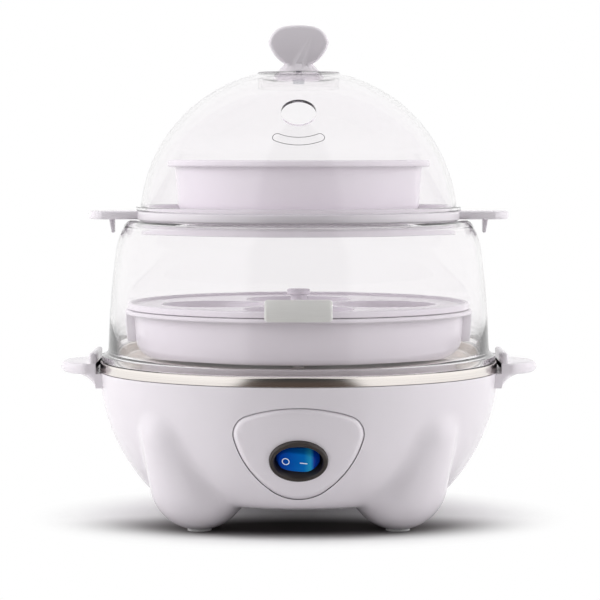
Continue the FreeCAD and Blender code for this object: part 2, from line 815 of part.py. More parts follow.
def panel():
    skin = turned_body("panel_skin", [
        (arc_reach("base", inner_floor, "base_wall"), inner_floor, "base_bend - base_wall"),
        (arc_reach("base", "base_top - ledge_depth", "base_wall"), "base_top - ledge_depth"),
        (arc_reach("base", "base_top - ledge_depth", "-panel_proud"), "base_top - ledge_depth",
         "-base_bend - panel_proud"),
        (arc_reach("base", inner_floor, "-panel_proud"), inner_floor)])
    backing = "base_wall + panel_fit + panel_flange_wall"
    behind = "base_wall + panel_fit"
    back = turned_body("panel_backing", [
        (arc_reach("base", inner_floor, backing), inner_floor, f"base_bend - ({backing})"),
        (arc_reach("base", "base_top - ledge_depth", backing), "base_top - ledge_depth"),
        (arc_reach("base", "base_top - ledge_depth", behind), "base_top - ledge_depth",
         f"-(base_bend - ({behind}))"),
        (arc_reach("base", inner_floor, behind), inner_floor)])
    neck = turned_body("panel_neck", [
        (arc_reach("base", inner_floor, behind), inner_floor, f"base_bend - ({behind})"),
        (arc_reach("base", "base_top - ledge_depth", behind), "base_top - ledge_depth"),
        (arc_reach("base", "base_top - ledge_depth", "base_wall"), "base_top - ledge_depth",
         "-(base_bend - base_wall)"),
        (arc_reach("base", inner_floor, "base_wall"), inner_floor)])
    face = shared("panel_face", [front_prism("panel_prism", shield, "-panel_fit/4"), skin])
    middle = shared("panel_middle", [front_prism("panel_prism_again", shield, "-panel_fit/4"),
                                     neck])
    flange = shared("panel_rear", [front_prism("panel_wide_prism", shield, "panel_flange"),
                                   back])
    plate = joined("panel_plate", [face, middle, flange])
    seat = extruded("bezel_seat_cut",
                    oval(new_sketch(None, "bezel_seat_outline", plane="XY_Plane"),
                         "bezel_length + bezel_fit * 2", "bezel_height + bezel_fit * 2"),
                    "bezel_thickness * 4")
    set_in_switch_frame(seat, "-bezel_seat")
    hole = extruded("switch_hole_cut",
                    rounded_box(new_sketch(None, "switch_hole_outline", plane="XY_Plane"),
                                "(switch_body_length + bezel_fit * 2)",
                                "(switch_body_height + bezel_fit * 2)",
                                "(switch_body_corner + bezel_fit)"),
                    "switch_body_depth * 2", both_ways=True)
    set_in_switch_frame(hole)
    nodes["switch_panel"] = cut_away("switch_panel", plate, [seat, hole])


def switch():
    """The bezel and its body, in the switch's own frame."""
    body = new_body("switch_housing")
    flange = oval(new_sketch(body, "bezel_outline", plane="XY_Plane", lift="-bezel_seat"),
                  "bezel_length", "bezel_height")
    padded(body, "bezel", flange, "bezel_thickness")
    rump = rounded_box(new_sketch(body, "switch_body_outline", plane="XY_Plane",
                                  lift="-bezel_seat"),
                       "switch_body_length", "switch_body_height", "switch_body_corner")
    padded(body, "switch_rump", rump, "switch_body_depth - bezel_seat", backwards=True)
    doc.recompute()
    well = rounded_box(new_sketch(body, "switch_well_outline", plane="XY_Plane",
                                  lift="bezel_thickness - bezel_seat"),
                       "switch_well_length", "switch_well_height", "switch_well_corner")
    pocketed(body, "switch_well", well, "switch_well_depth + bezel_thickness - bezel_seat")
    pin_holes = round_hole(new_sketch(body, "pivot_holes_outline"), "0",
                           "-rocker_pivot_depth", "pivot_bend + pivot_fit")
    holes = body.newObject("PartDesign::Pocket", "pivot_holes")
    holes.Profile = pin_holes
    holes.Midplane = True
    holes.setExpression("Length", bound("rocker_height + 2 * pivot_length + 4 * pivot_fit"))
    set_in_switch_frame(body)
    nodes["switch_housing"] = body

    rocker_run = extruded("rocker_run", closed(new_sketch(None, "rocker_side"), [
        ("-rocker_hub", "-rocker_hub"), ("rocker_hub", "-rocker_hub"),
        ("rocker_hub", "rocker_bend * sin(rocker_low_turn)"),
        ("rocker_bend * cos(rocker_low_turn)", "rocker_bend * sin(rocker_low_turn)",
         "rocker_bend"),
        ("rocker_bend * cos(rocker_high_turn)", "rocker_bend * sin(rocker_high_turn)"),
        ("-rocker_bend * cos(rocker_high_turn)", "rocker_bend * sin(rocker_high_turn)",
         "rocker_bend"),
        ("-rocker_bend * cos(rocker_low_turn)", "rocker_bend * sin(rocker_low_turn)"),
        ("-rocker_hub", "rocker_bend * sin(rocker_low_turn)")]),
        "rocker_height", both_ways=True)
    rocker_rise = extruded("rocker_rise",
                           rounded_box(new_sketch(None, "rocker_plan", plane="XY_Plane"),
                                       "(rocker_bend * 2)", "rocker_height", "rocker_corner"),
                           "rocker_bend * 2", both_ways=True)
    block = shared("rocker_block", [rocker_run, rocker_rise])
    pin = extruded("rocker_pin", round_hole(new_sketch(None, "rocker_pin_outline"), "0", "0",
                                            "pivot_bend"),
                   "rocker_height + pivot_length * 2", both_ways=True)
    rocker = joined("switch_rocker", [block, pin])
    level = size("rocker_pivot_depth")
    reach = size(arc_reach("base", "switch_level", "-panel_proud"))
    lean = math.radians(size("switch_lean"))
    place = V(0, -reach + level * math.cos(lean), size("switch_level") + level * math.sin(lean))
    rocker.Placement = FreeCAD.Placement(
        place, FreeCAD.Rotation(V(1, 0, 0), 90 + size("switch_lean")).multiply(
            FreeCAD.Rotation(V(0, 1, 0), -size("rocker_rest"))))
    nodes["switch_rocker"] = rocker

    blades = new_body("switch_terminals")
    outline = new_sketch(blades, "blade_outline", plane="XY_Plane", lift="-switch_body_depth")
    for place in ("-terminal_pitch", "0", "terminal_pitch"):
        box_outline(outline, f"{place} - terminal_thickness/2", f"{place} + terminal_thickness/2",
                    "-terminal_width/2", "terminal_width/2")
    padded(blades, "blades", outline, "terminal_length", backwards=True)
    set_in_switch_frame(blades)
    nodes["switch_terminals"] = blades

    lamp = new_body("switch_lamp")
    bulb = round_hole(new_sketch(lamp, "lamp_outline"), "0",
                      "lamp_bend - switch_well_depth", "lamp_bend")
    padded(lamp, "lamp_glass", bulb, "lamp_length", midplane=True)
    set_in_switch_frame(lamp)
    nodes["switch_lamp"] = lamp


def screws(name, circle, seat_level, bend, head, head_height, length, count, turn="0",
           hangs=True):
    """Round-headed screws on a circle. The head lies under its seat and the shank goes up."""
    way = "1" if hangs else "-1"
    along = circle if turn == "0" else f"{circle} * cos({turn})"
    lift = "0" if turn == "0" else f"-{circle} * sin({turn})"
    body = new_body(name)
    profile = closed(new_sketch(body, f"{name}_profile", along=along, up=seat_level,
                                lift=lift), [
        ("0", f"-{way} * {head_height}"), (head, f"-{way} * {head_height}"), (head, "0"),
        (bend, "0"), (bend, f"{way} * ({length})"), ("0", f"{way} * ({length})")])
    around(body, f"{name}_around", turned(body, f"{name}_turned", profile), count)
    nodes[name] = body


def bottom():
    cover = turned_body("bottom_cover", [
        ("0", "base_floor"), ("cover_bend", "base_floor"),
        ("cover_bend", "base_floor + cover_sheet"), ("0", "base_floor + cover_sheet")])
    doc.recompute()
    slots = new_sketch(cover, "cover_slots_outline", plane="XY_Plane", lift="base_floor")
    for place in ("-cover_slot_pitch", "0", "cover_slot_pitch"):
        box_outline(slots, "-cover_slot_length/2", "cover_slot_length/2",
                    f"{place} - cover_slot_width/2", f"{place} + cover_slot_width/2")
    pocketed(cover, "cover_slots", slots)
    hole = closed(new_sketch(cover, "cover_screw_hole", along="cover_screw_circle",
                             up="base_floor"), [
        ("0", "0"), ("cover_screw_head", "0"),
        ("cover_screw_head", "cover_screw_head_height"),
        ("cover_screw_bend", "cover_screw_head_height"), ("cover_screw_bend", "cover_sheet"),
        ("0", "cover_sheet")])
    around(cover, "cover_screw_holes", turned(cover, "cover_screw_hole_turned", hole, cut=True),
           "cover_screw_count")
    nodes["bottom_cover"] = cover
    screws("cover_screws", "cover_screw_circle", "base_floor + cover_screw_head_height",
           "cover_screw_bend", "cover_screw_head", "cover_screw_head_height",
           "cover_screw_length - cover_screw_head_height", "cover_screw_count")
    pads = new_body("foot_pads")
    pad = closed(new_sketch(pads, "pad_profile", turn="-foot_turn", along=across_foot[0],
                            lift=across_foot[1]), [
        ("0", "0"), ("pad_bend", "0"), ("pad_bend", "pad_depth"), ("0", "pad_depth")])
    around(pads, "pads_around", turned(pads, "pad", pad), "foot_count")
    nodes["foot_pads"] = pads


def heater():
    under = "plate_floor - plate_sheet"
    wall_out = "plate_well + plate_sheet"
    nodes["heating_plate"] = turned_body("heating_plate", [
        ("0", under), (wall_out, under), (wall_out, "plate_top - plate_sheet"),
        ("plate_rim - plate_sheet", "plate_top - plate_sheet"),
        ("plate_rim - plate_sheet", "base_top + plate_hang"),
        ("plate_rim", "base_top + plate_hang"), ("plate_rim", "plate_top"),
        ("plate_well", "plate_top"), ("plate_well", "plate_floor"), ("0", "plate_floor")])
    nodes["plate_gasket"] = turned_body("plate_gasket", [
        (f"{wall_out} + gasket_gap", "base_top"),
        ("plate_rim - plate_sheet - gasket_gap", "base_top"),
        ("plate_rim - plate_sheet - gasket_gap", "plate_top - plate_sheet"),
        (f"{wall_out} + gasket_gap", "plate_top - plate_sheet")])
    spreader = new_body("heat_spreader")
    disc = closed(new_sketch(spreader, "spreader_profile"), [
        ("0", f"{under} - spreader_thickness"), ("spreader_bend", f"{under} - spreader_thickness"),
        ("spreader_bend", under), ("0", under)])
    turned(spreader, "spreader_disc", disc)
    doc.recompute()
    groove = round_hole(new_sketch(spreader, "groove_profile"), "element_circle",
                        f"{under} - spreader_thickness", "element_bend")
    turned(spreader, "element_groove", groove, cut=True)
    nodes["heat_spreader"] = spreader

    coil_level = f"{under} - spreader_thickness"
    coil = new_body("heating_element")
    tube = round_hole(new_sketch(coil, "tube_section"), "element_circle", coil_level,
                      "element_bend")
    turned(coil, "element_arc", tube, angle="360 - element_gap_turn", midplane=True)
    coil.setExpression("Placement.Rotation.Angle", "90")
    nodes["heating_element"] = coil

    pins = new_body("element_terminals")
    for number, way in (("one", "1"), ("two", "-1")):
        turn = f"{way} * element_gap_turn/2"
        outline = round_hole(new_sketch(pins, f"pin_{number}_outline", plane="XY_Plane",
                                        lift=f"{coil_level} - element_bend"),
                             f"-(element_circle + pin_offset) * sin({turn} + {way} * pin_turn)",
                             "-(element_circle + pin_offset) * cos(element_gap_turn/2 + pin_turn)",
                             "pin_bend")
        padded(pins, f"pin_{number}", outline, "pin_length", backwards=True)
    nodes["element_terminals"] = pins

    studs = new_body("plate_studs")
    stud = round_hole(new_sketch(studs, "stud_outline", plane="XY_Plane", lift="stud_end"),
                      "stud_circle", "0", "stud_bend")
    around(studs, "studs_around", padded(studs, "stud", stud, f"{under} - stud_end"),
           "stud_count")
    nodes["plate_studs"] = studs
    nuts = new_body("stud_nuts")
    across, half = "nut_flats/sqrt(3)", "nut_flats/2"
    hexagon = new_sketch(nuts, "nut_outline", plane="XY_Plane", lift="ear_level - nut_thickness")
    closed(hexagon, [
        (f"stud_circle + {across}", "0"), (f"stud_circle + {across}/2", half),
        (f"stud_circle - {across}/2", half), (f"stud_circle - {across}", "0"),
        (f"stud_circle - {across}/2", f"-{half}"), (f"stud_circle + {across}/2", f"-{half}")])
    round_hole(hexagon, "stud_circle", "0", "stud_bend")
    around(nuts, "nuts_around", padded(nuts, "nut", hexagon, "nut_thickness"), "stud_count")
    nodes["stud_nuts"] = nuts

    shield_top = "shield_level + shield_sheet"
    pan = turned_body("heat_shield", [
        ("0", "shield_level"), ("shield_bend", "shield_level"),
        ("shield_bend", f"{shield_top} + shield_lip"),
        ("shield_bend - shield_sheet", f"{shield_top} + shield_lip"),
        ("shield_bend - shield_sheet", shield_top), ("0", shield_top)])
    doc.recompute()
    eye = round_hole(new_sketch(pan, "shield_hole", plane="XY_Plane", lift=shield_top),
                     "post_circle * cos(post_turn)", "post_circle * sin(post_turn)", "post_screw_bend")
    around(pan, "shield_holes", pocketed(pan, "shield_hole_cut", eye, "shield_sheet"),
           "post_count")
    nodes["heat_shield"] = pan
    posts = new_body("shield_posts")
    ring = new_sketch(posts, "post_outline", plane="XY_Plane", lift=shield_top)
    round_hole(ring, "post_circle * cos(post_turn)", "post_circle * sin(post_turn)", "post_bend")
    round_hole(ring, "post_circle * cos(post_turn)", "post_circle * sin(post_turn)", "post_screw_bend")
    around(posts, "posts_around",
           padded(posts, "post", ring, f"{coil_level} - ({shield_top})"), "post_count")
    nodes["shield_posts"] = posts
    screws("shield_screws", "post_circle", "shield_level", "post_screw_bend",
           "post_screw_head", "post_screw_head_height",
           "shield_sheet + post_screw_grip", "post_count", turn="post_turn")

    nodes["thermostat"] = turned_body("thermostat", [
        ("0", f"{coil_level} - thermostat_height"),
        ("thermostat_bend", f"{coil_level} - thermostat_height"),
        ("thermostat_bend", coil_level), ("0", coil_level)])
    strap = new_body("thermostat_bracket")
    strap_low = f"{coil_level} - thermostat_height - strap_sheet"
    side = closed(new_sketch(strap, "strap_side"), [
        ("-strap_reach", coil_level), ("-strap_reach", f"{coil_level} - strap_sheet"),
        ("-thermostat_bend - strap_sheet", f"{coil_level} - strap_sheet"),
        ("-thermostat_bend - strap_sheet", strap_low),
        ("thermostat_bend + strap_sheet", strap_low),
        ("thermostat_bend + strap_sheet", f"{coil_level} - strap_sheet"),
        ("strap_reach", f"{coil_level} - strap_sheet"), ("strap_reach", coil_level),
        ("thermostat_bend", coil_level),
        ("thermostat_bend", f"{coil_level} - thermostat_height"),
        ("-thermostat_bend", f"{coil_level} - thermostat_height"),
        ("-thermostat_bend", coil_level)])
    padded(strap, "strap", side, "strap_width", midplane=True)
    nodes["thermostat_bracket"] = strap

    fuse = new_body("thermal_fuse")
    sleeve = round_hole(new_sketch(fuse, "fuse_outline", lift="-fuse_place"), "0",
                        f"{coil_level} - fuse_bend", "fuse_bend")
    padded(fuse, "fuse_sleeve", sleeve, "fuse_length", midplane=True)
    fuse.setExpression("Placement.Rotation.Angle", "-90")
    nodes["thermal_fuse"] = fuse
    clip = new_body("fuse_clip")
    under_fuse = f"{coil_level} - 2 * fuse_bend"
    hook = closed(new_sketch(clip, "clip_side", lift="-fuse_place"), [
        ("fuse_bend", coil_level), ("fuse_bend", under_fuse), ("-fuse_bend", under_fuse),
        ("-fuse_bend", coil_level), ("-fuse_bend - clip_sheet", coil_level),
        ("-fuse_bend - clip_sheet", f"{under_fuse} - clip_sheet"),
        ("fuse_bend + clip_sheet", f"{under_fuse} - clip_sheet"),
        ("fuse_bend + clip_sheet", coil_level)])
    padded(clip, "clip", hook, "clip_width", midplane=True)
    clip.setExpression("Placement.Rotation.Angle", "-90")
    nodes["fuse_clip"] = clip


def electrics():
    block = new_body("terminal_block")
    outline = box_outline(new_sketch(block, "block_outline", plane="XY_Plane",
                                     lift=inner_floor),
                          "-block_length/2", "block_length/2",
                          "block_place - block_depth/2", "block_place + block_depth/2")
    padded(block, "block", outline, "block_height")
    doc.recompute()
    wells = new_sketch(block, "pole_outline", plane="XY_Plane",
                       lift=f"{inner_floor} + block_height")
    for place in ("-block_pole_pitch", "0", "block_pole_pitch"):
        round_hole(wells, place, "block_place", "block_pole_bend")
    pocketed(block, "poles", wells, "block_pole_depth")
    nodes["terminal_block"] = block
    clamps = new_body("block_screws")
    heads = new_sketch(clamps, "block_screw_outline", plane="XY_Plane",
                       lift=f"{inner_floor} + block_height - block_pole_depth")
    for place in ("-block_pole_pitch", "0", "block_pole_pitch"):
        round_hole(heads, place, "block_place", "block_pole_bend - pad_fit")
    padded(clamps, "clamp_heads", heads, "block_pole_depth/2")
    nodes["block_screws"] = clamps

    buzzer = new_body("buzzer")
    can = round_hole(new_sketch(buzzer, "buzzer_outline", plane="XY_Plane", lift=inner_floor),
                     "0", "-buzzer_place", "buzzer_bend")
    padded(buzzer, "buzzer_can", can, "buzzer_height")
    doc.recompute()
    port = round_hole(new_sketch(buzzer, "buzzer_port_outline", plane="XY_Plane",
                                 lift=f"{inner_floor} + buzzer_height"),
                      "0", "-buzzer_place", "buzzer_hole_bend")
    pocketed(buzzer, "buzzer_port", port, "buzzer_hole_depth")
    nodes["buzzer"] = buzzer

    inside, neck_end = "-base_wall - grommet_inside", "-base_wall"
    grommet = turned_body("cord_grommet", [
        ("cord_bend", inside), ("grommet_nut", inside), ("grommet_nut", f"{neck_end} - grommet_gap"),
        ("grommet_neck", f"{neck_end} - grommet_gap"), ("grommet_neck", "grommet_gap"),
        ("grommet_flange", "grommet_gap"),
        ("grommet_flange", "grommet_gap + grommet_flange_wall"),
        ("grommet_neck", "grommet_gap + grommet_flange_wall"),
        ("grommet_tail_end", "grommet_tail"),
        ("cord_bend", "grommet_tail")])
    set_in_cord_frame(grommet)
    nodes["cord_grommet"] = grommet


def wire(name, points):
    """A wire of straight runs and tangent arcs through points given as (x, y, z) numbers."""
    bend = size("wire_bend")
    spots = [V(*point) for point in points]
    runs = [(after - before).Length for before, after in zip(spots, spots[1:])]
    edges = []
    start = spots[0]
    for here in range(1, len(spots) - 1):
        before = (spots[here - 1] - spots[here]).normalize()
        after = (spots[here + 1] - spots[here]).normalize()
        trim = 0.45 * min(runs[here - 1], runs[here])
        enter, leave = spots[here] + before * trim, spots[here] + after * trim
        half = before.getAngle(after) / 2
        radius = trim * math.tan(half)
        inward = (before + after).normalize()
        middle = spots[here] + inward * (radius / math.sin(half) - radius)
        edges.append(Part.LineSegment(start, enter).toShape())
        edges.append(Part.Arc(enter, middle, leave).toShape())
        start = leave
    edges.append(Part.LineSegment(start, spots[-1]).toShape())
    path = Part.Wire(edges)
    section = Part.Wire(Part.Circle(spots[0], spots[1] - spots[0], bend).toShape())
    feature = doc.addObject("Part::Feature", name)
    feature.Shape = path.makePipeShell([section], True, False)
    feature.Label = name
    nodes[name] = feature


def wires():
    """Wires from the terminal block to the switch and round the shield to the heater."""
    block_top = size(f"{inner_floor} + block_height")
    pole, bend = size("block_pole_pitch"), size("wire_bend")
    back = size("block_place")
    coil_level = size("plate_floor - plate_sheet - spreader_thickness")
    shield_edge, below = size("shield_bend"), size("shield_level") - 2 * bend
    over = size("shield_level + shield_sheet + shield_lip") + 2 * bend
    lean = math.radians(size("switch_lean"))
    reach = size(arc_reach("base", "switch_level", "-panel_proud"))
    depth = size("switch_body_depth + terminal_length") + bend
    blade_y = -reach + depth * math.cos(lean)
    blade_z = size("switch_level") + depth * math.sin(lean)
    pitch = size("terminal_pitch")
    swing, coil = shield_edge * 0.47, size("element_circle")
    wire("wire_live", [
        (pole, back, block_top), (pole + 3, back - 5, below - 7),
        (swing * 0.87, swing * 1.13, below - 4), (swing, 0, below - 3),
        (swing * 0.73, -swing * 1.13, below - 3), (pitch + 4, -shield_edge + 4, below - 1),
        (pitch, -shield_edge - 4, below + 2), (pitch, blade_y, blade_z)])
    turn = math.radians(size("element_gap_turn/2 + pin_turn"))
    pin_x = size("element_circle + pin_offset") * math.sin(turn)
    pin_y = -size("element_circle + pin_offset") * math.cos(turn)
    pin_z = coil_level - size("element_bend + pin_length") - bend
    wire("wire_switched", [
        (-pitch, blade_y, blade_z), (-pitch - 2, blade_y + 1, over),
        (-pin_x + 3, -shield_edge + 2, over + 2), (-pin_x + 1, pin_y - 7, pin_z + 1),
        (-pin_x, pin_y, pin_z - 0.3)])
    fuse_low = coil_level - size("fuse_bend * 2")
    under_coil = coil_level - size("element_bend") - 2 * bend
    clip_end = size("fuse_place + clip_width/2") + 3
    wire("wire_neutral", [
        (0, back, block_top), (1, back + 5, below - 8),
        (6, shield_edge + 5, below), (12, shield_edge + 2, over + 1),
        (coil * 0.29, coil * 1.04, under_coil), (coil * 0.62, coil * 0.5, under_coil - 2),
        (clip_end, coil / 6, under_coil - 2),
        (clip_end, 0, fuse_low - 1)])
    stud = V(size("stud_circle"), 0, 0)
    stud = FreeCAD.Rotation(V(0, 0, 1), 120).multVec(stud)
    wire("wire_ground", [
        (-pole, back, block_top), (-pole - 3, back + 5, below - 8),
        (-coil * 0.5, shield_edge + 6, below),
        (-coil * 0.75, stud.y - 4, below + 8),
        (stud.x + 2, stud.y - 1.8, size("stud_end") + 2)])


def clear_ring():
    foot, flare = "ring_foot", "ring_flare_level"
    inner_crown = "ring_top - ring_wall"
    nodes["clear_ring"] = turned_body("clear_ring", [
        ("ring_neck", "ring_top - ring_neck_height"),
        ("ring_neck + ring_wall", "ring_top - ring_neck_height"),
        ("ring_neck + ring_wall", inner_crown), ("ring_crown", inner_crown,
                                                 "-ring_brow_bend + ring_wall"),
        ("ring_brow - ring_wall", "ring_brow_level - ring_wall/2",
         "-ring_shoulder_bend + ring_wall"),
        (arc_reach("ring", "ring_shoulder_level", "ring_wall"), "ring_shoulder_level",
         "-ring_bend + ring_wall"),
        (arc_reach("ring", flare, "ring_wall"), flare),
        (arc_reach("ring", flare, "ring_wall"), foot), ("ring_foot_bend", foot),
        ("ring_foot_bend", f"{foot} + ring_foot_height", "-ring_flare_bend"),
        (arc_reach("ring", flare), flare, "ring_bend"),
        (arc_reach("ring", "ring_shoulder_level"), "ring_shoulder_level",
         "ring_shoulder_bend"),
        ("ring_brow", "ring_brow_level", "ring_brow_bend"), ("ring_crown", "ring_top"),
        ("ring_neck", "ring_top")])

    low, high = "badge_level - badge_height/2", "badge_level + badge_height/2"
    badge = new_body("badge_plate")
    strip = closed(new_sketch(badge, "badge_profile"), [
        (arc_reach("ring", low), low, "ring_bend"), (arc_reach("ring", high), high),
        (arc_reach("ring", high, "-badge_sheet"), high, "-ring_bend - badge_sheet"),
        (arc_reach("ring", low, "-badge_sheet"), low)])
    turned(badge, "badge_strip", strip, midplane=True,
           angle=f"badge_width * 180 / (pi * ({arc_reach('ring', 'badge_level')}))")
    badge.setExpression("Placement.Rotation.Angle", "-90")
    nodes["badge_plate"] = badge


def lower_bowls():
    inner = "tub_bend - tub_wall"
    rim_top = "tub_flange_level + tub_flange_thickness"
    tub = new_body("lower_bowl")
    profile = closed(new_sketch(tub, "tub_profile"), [
        ("0", "tub_floor"), ("tub_bend - tub_corner", "tub_floor", "tub_corner"),
        ("tub_bend", "tub_floor + tub_corner"), ("tub_bend", "tub_flange_level"),
        ("tub_flange", "tub_flange_level"), ("tub_flange", rim_top), (inner, rim_top),
        (inner, "tub_floor + tub_corner", "-(tub_corner - tub_wall)"),
        ("tub_bend - tub_corner", "tub_floor + tub_wall"), ("0", "tub_floor + tub_wall")])
    turned(tub, "tub_turned", profile)
    doc.recompute()
    lug = box_outline(new_sketch(tub, "lug_outline", plane="XY_Plane",
                                 lift="tub_floor + tub_corner"),
                      "tub_bend - tub_wall/2", "tub_bend + lug_reach", "-lug_half", "lug_half")
    around(tub, "lugs", padded(tub, "lug", lug, "tub_flange_level - tub_floor - tub_corner"),
           "lug_count")
    doc.recompute()
    nub = round_hole(new_sketch(tub, "nub_outline", plane="XY_Plane",
                                lift="plate_floor + seat_gap"),
                     "nub_circle", "0", "nub_bend")
    around(tub, "nubs", padded(tub, "nub", nub,
                               "tub_floor - plate_floor - seat_gap + tub_wall/2"), "nub_count")
    nodes["lower_bowl"] = tub

    seat = f"{rim_top} + seat_gap"
    web_top = f"{seat} + tray_web"
    tray = new_body("poaching_tray")
    plate = closed(new_sketch(tray, "tray_profile"), [
        ("0", seat), ("tray_bend", seat), ("tray_bend", f"{seat} + tray_lip_height"),
        ("tray_bend - tray_lip_width", f"{seat} + tray_lip_height"),
        ("tray_bend - tray_lip_width", web_top), ("0", web_top)])
    turned(tray, "tray_turned", plate)
    doc.recompute()
    for name, mouth, depth, cut in (("cup_outside", "cup_mouth + cup_wall",
                                     "cup_depth + cup_wall", False),
                                    ("cup_inside", "cup_mouth", "cup_depth", True)):
        bowl = closed(new_sketch(tray, f"{name}_profile", along="cup_circle", up=web_top), [
            ("0", f"-({depth})",
             f"(({mouth})^2 + ({depth})^2) / (2 * ({depth}))"),
            (mouth, "0"), ("0", "0")])
        around(tray, f"{name}_around", turned(tray, name, bowl, cut=cut), "cup_count")
        doc.recompute()
    grip = closed(new_sketch(tray, "lifter_profile", up=web_top), [
        ("0", "-tray_web/2"), ("lifter_neck", "-tray_web/2"),
        ("lifter_neck", "lifter_height - lifter_cap"),
        ("lifter_bend", "lifter_height - lifter_cap"), ("lifter_bend", "lifter_height"),
        ("0", "lifter_height")])
    turned(tray, "lifter", grip)
    nodes["poaching_tray"] = tray


def upper_tier():
    seat, floor_top = "deck_seat", "deck_floor_top"
    deck = new_body("upper_tray")
    rim_inside = "deck_bend - deck_rim_width"
    plate = closed(new_sketch(deck, "deck_profile"), [
        ("0", "deck_floor_top - deck_floor_sheet"),
        ("deck_skirt - deck_skirt_wall", "deck_floor_top - deck_floor_sheet"),
        ("deck_skirt - deck_skirt_wall", "deck_skirt_end"), ("deck_skirt", "deck_skirt_end"),
        ("deck_skirt", seat), ("deck_bend", seat), ("deck_bend", f"{seat} + deck_rim_height"),
        (rim_inside, f"{seat} + deck_rim_height"), ("0", f"{seat} + deck_rim_height")])
    turned(deck, "deck_turned", plate)
    doc.recompute()
    curb_top = f"{seat} + deck_rim_height + deck_curb_height"
    curb = closed(new_sketch(deck, "curb_profile"), [
        ("deck_curb - deck_curb_wall", f"{seat} + deck_rim_height/2"),
        ("deck_curb", f"{seat} + deck_rim_height/2"), ("deck_curb", curb_top),
        ("deck_curb - deck_curb_wall", curb_top)])
    turned(deck, "curb_turned", curb)
    doc.recompute()
    dish = closed(new_sketch(deck, "dish_profile"), [
        ("0", floor_top), ("deck_curb - deck_curb_wall", floor_top),
        ("deck_curb - deck_curb_wall", curb_top), ("0", curb_top)])
    turned(deck, "dish_cut", dish, cut=True)
    doc.recompute()
    shoulder = "tab_tip - tab_end_bend + sqrt(tab_end_bend^2 - tab_width^2/4)"
    tab = closed(new_sketch(deck, "tab_outline", plane="XY_Plane", lift=f"{seat} + seat_gap"), [
        ("deck_bend - deck_rim_width", "-tab_width/2"),
        (shoulder, "-tab_width/2", "tab_end_bend"), (shoulder, "tab_width/2"),
        ("deck_bend - deck_rim_width", "tab_width/2")])
    around(deck, "tabs", padded(deck, "tab", tab, "tab_thickness"), "tab_count")
    doc.recompute()
    prong = closed(new_sketch(deck, "prong_side"), [
        ("prong_near", f"{seat} + 2 * seat_gap"), ("prong_near", "prong_end"),
        ("prong_near + prong_narrow", "prong_end"), ("prong_far", f"{seat} + 2 * seat_gap")])
    around(deck, "prongs", padded(deck, "prong", prong, "prong_width", midplane=True),
           "tab_count")
    doc.recompute()
    hole = round_hole(new_sketch(deck, "steam_hole", plane="XY_Plane", lift=floor_top),
                      "steam_circle", "0", "steam_bend")
    around(deck, "steam_holes", pocketed(deck, "steam_hole_cut", hole, "deck_floor_sheet"),
           "steam_count")
    nodes["upper_tray"] = deck

    stand = "bowl_stand"
    nodes["upper_bowl"] = turned_body("upper_bowl", [
        ("0", stand), ("bowl_foot - bowl_corner", stand, "bowl_corner"),
        ("bowl_foot", f"{stand} + bowl_corner"), ("bowl_waist", "bowl_rim_level"),
        ("bowl_rim", "bowl_rim_level"), ("bowl_rim", "bowl_rim_level + bowl_rim_thickness"),
        ("bowl_waist - bowl_wall", "bowl_rim_level + bowl_rim_thickness"),
        ("bowl_foot - bowl_wall", f"{stand} + bowl_corner", "-(bowl_corner - bowl_wall)"),
        ("bowl_foot - bowl_corner", f"{stand} + bowl_wall"), ("0", f"{stand} + bowl_wall")])

    foot, foot_top = "dome_seat", "dome_foot_top"
    under_top = "dome_top - dome_wall"
    inner_bend = "dome_bend - dome_wall"
    hole_bend = "knob_screw_bend + knob_screw_fit"
    glass = turned_body("dome_glass", [
        (hole_bend, under_top), ("dome_crown - dome_rib_wall", under_top),
        ("dome_crown - dome_rib_wall", "dome_rib_end"), ("dome_crown", "dome_rib_end"),
        ("dome_crown", arc_level("dome", "dome_crown", "dome_wall"), f"-({inner_bend})"),
        (arc_reach("dome", foot_top, "dome_wall"), foot_top),
        (arc_reach("dome", foot_top, "dome_wall"), foot), ("dome_foot", foot),
        ("dome_foot", foot_top), (arc_reach("dome", foot_top), foot_top, "dome_bend"),
        ("dome_crown", arc_level("dome", "dome_crown")), ("dome_crown", "dome_top"),
        (hole_bend, "dome_top")])
    vent = cylinder("vent_cut", "vent_bend", "vent_bend * 2")
    place_with(vent, V(1, 0, 0), "90 - vent_lean", "0",
               "-vent_reach + vent_bend * cos(vent_lean)",
               "vent_level - vent_bend * sin(vent_lean)")
    nodes["dome_lid"] = cut_away("dome_lid", glass, [vent])


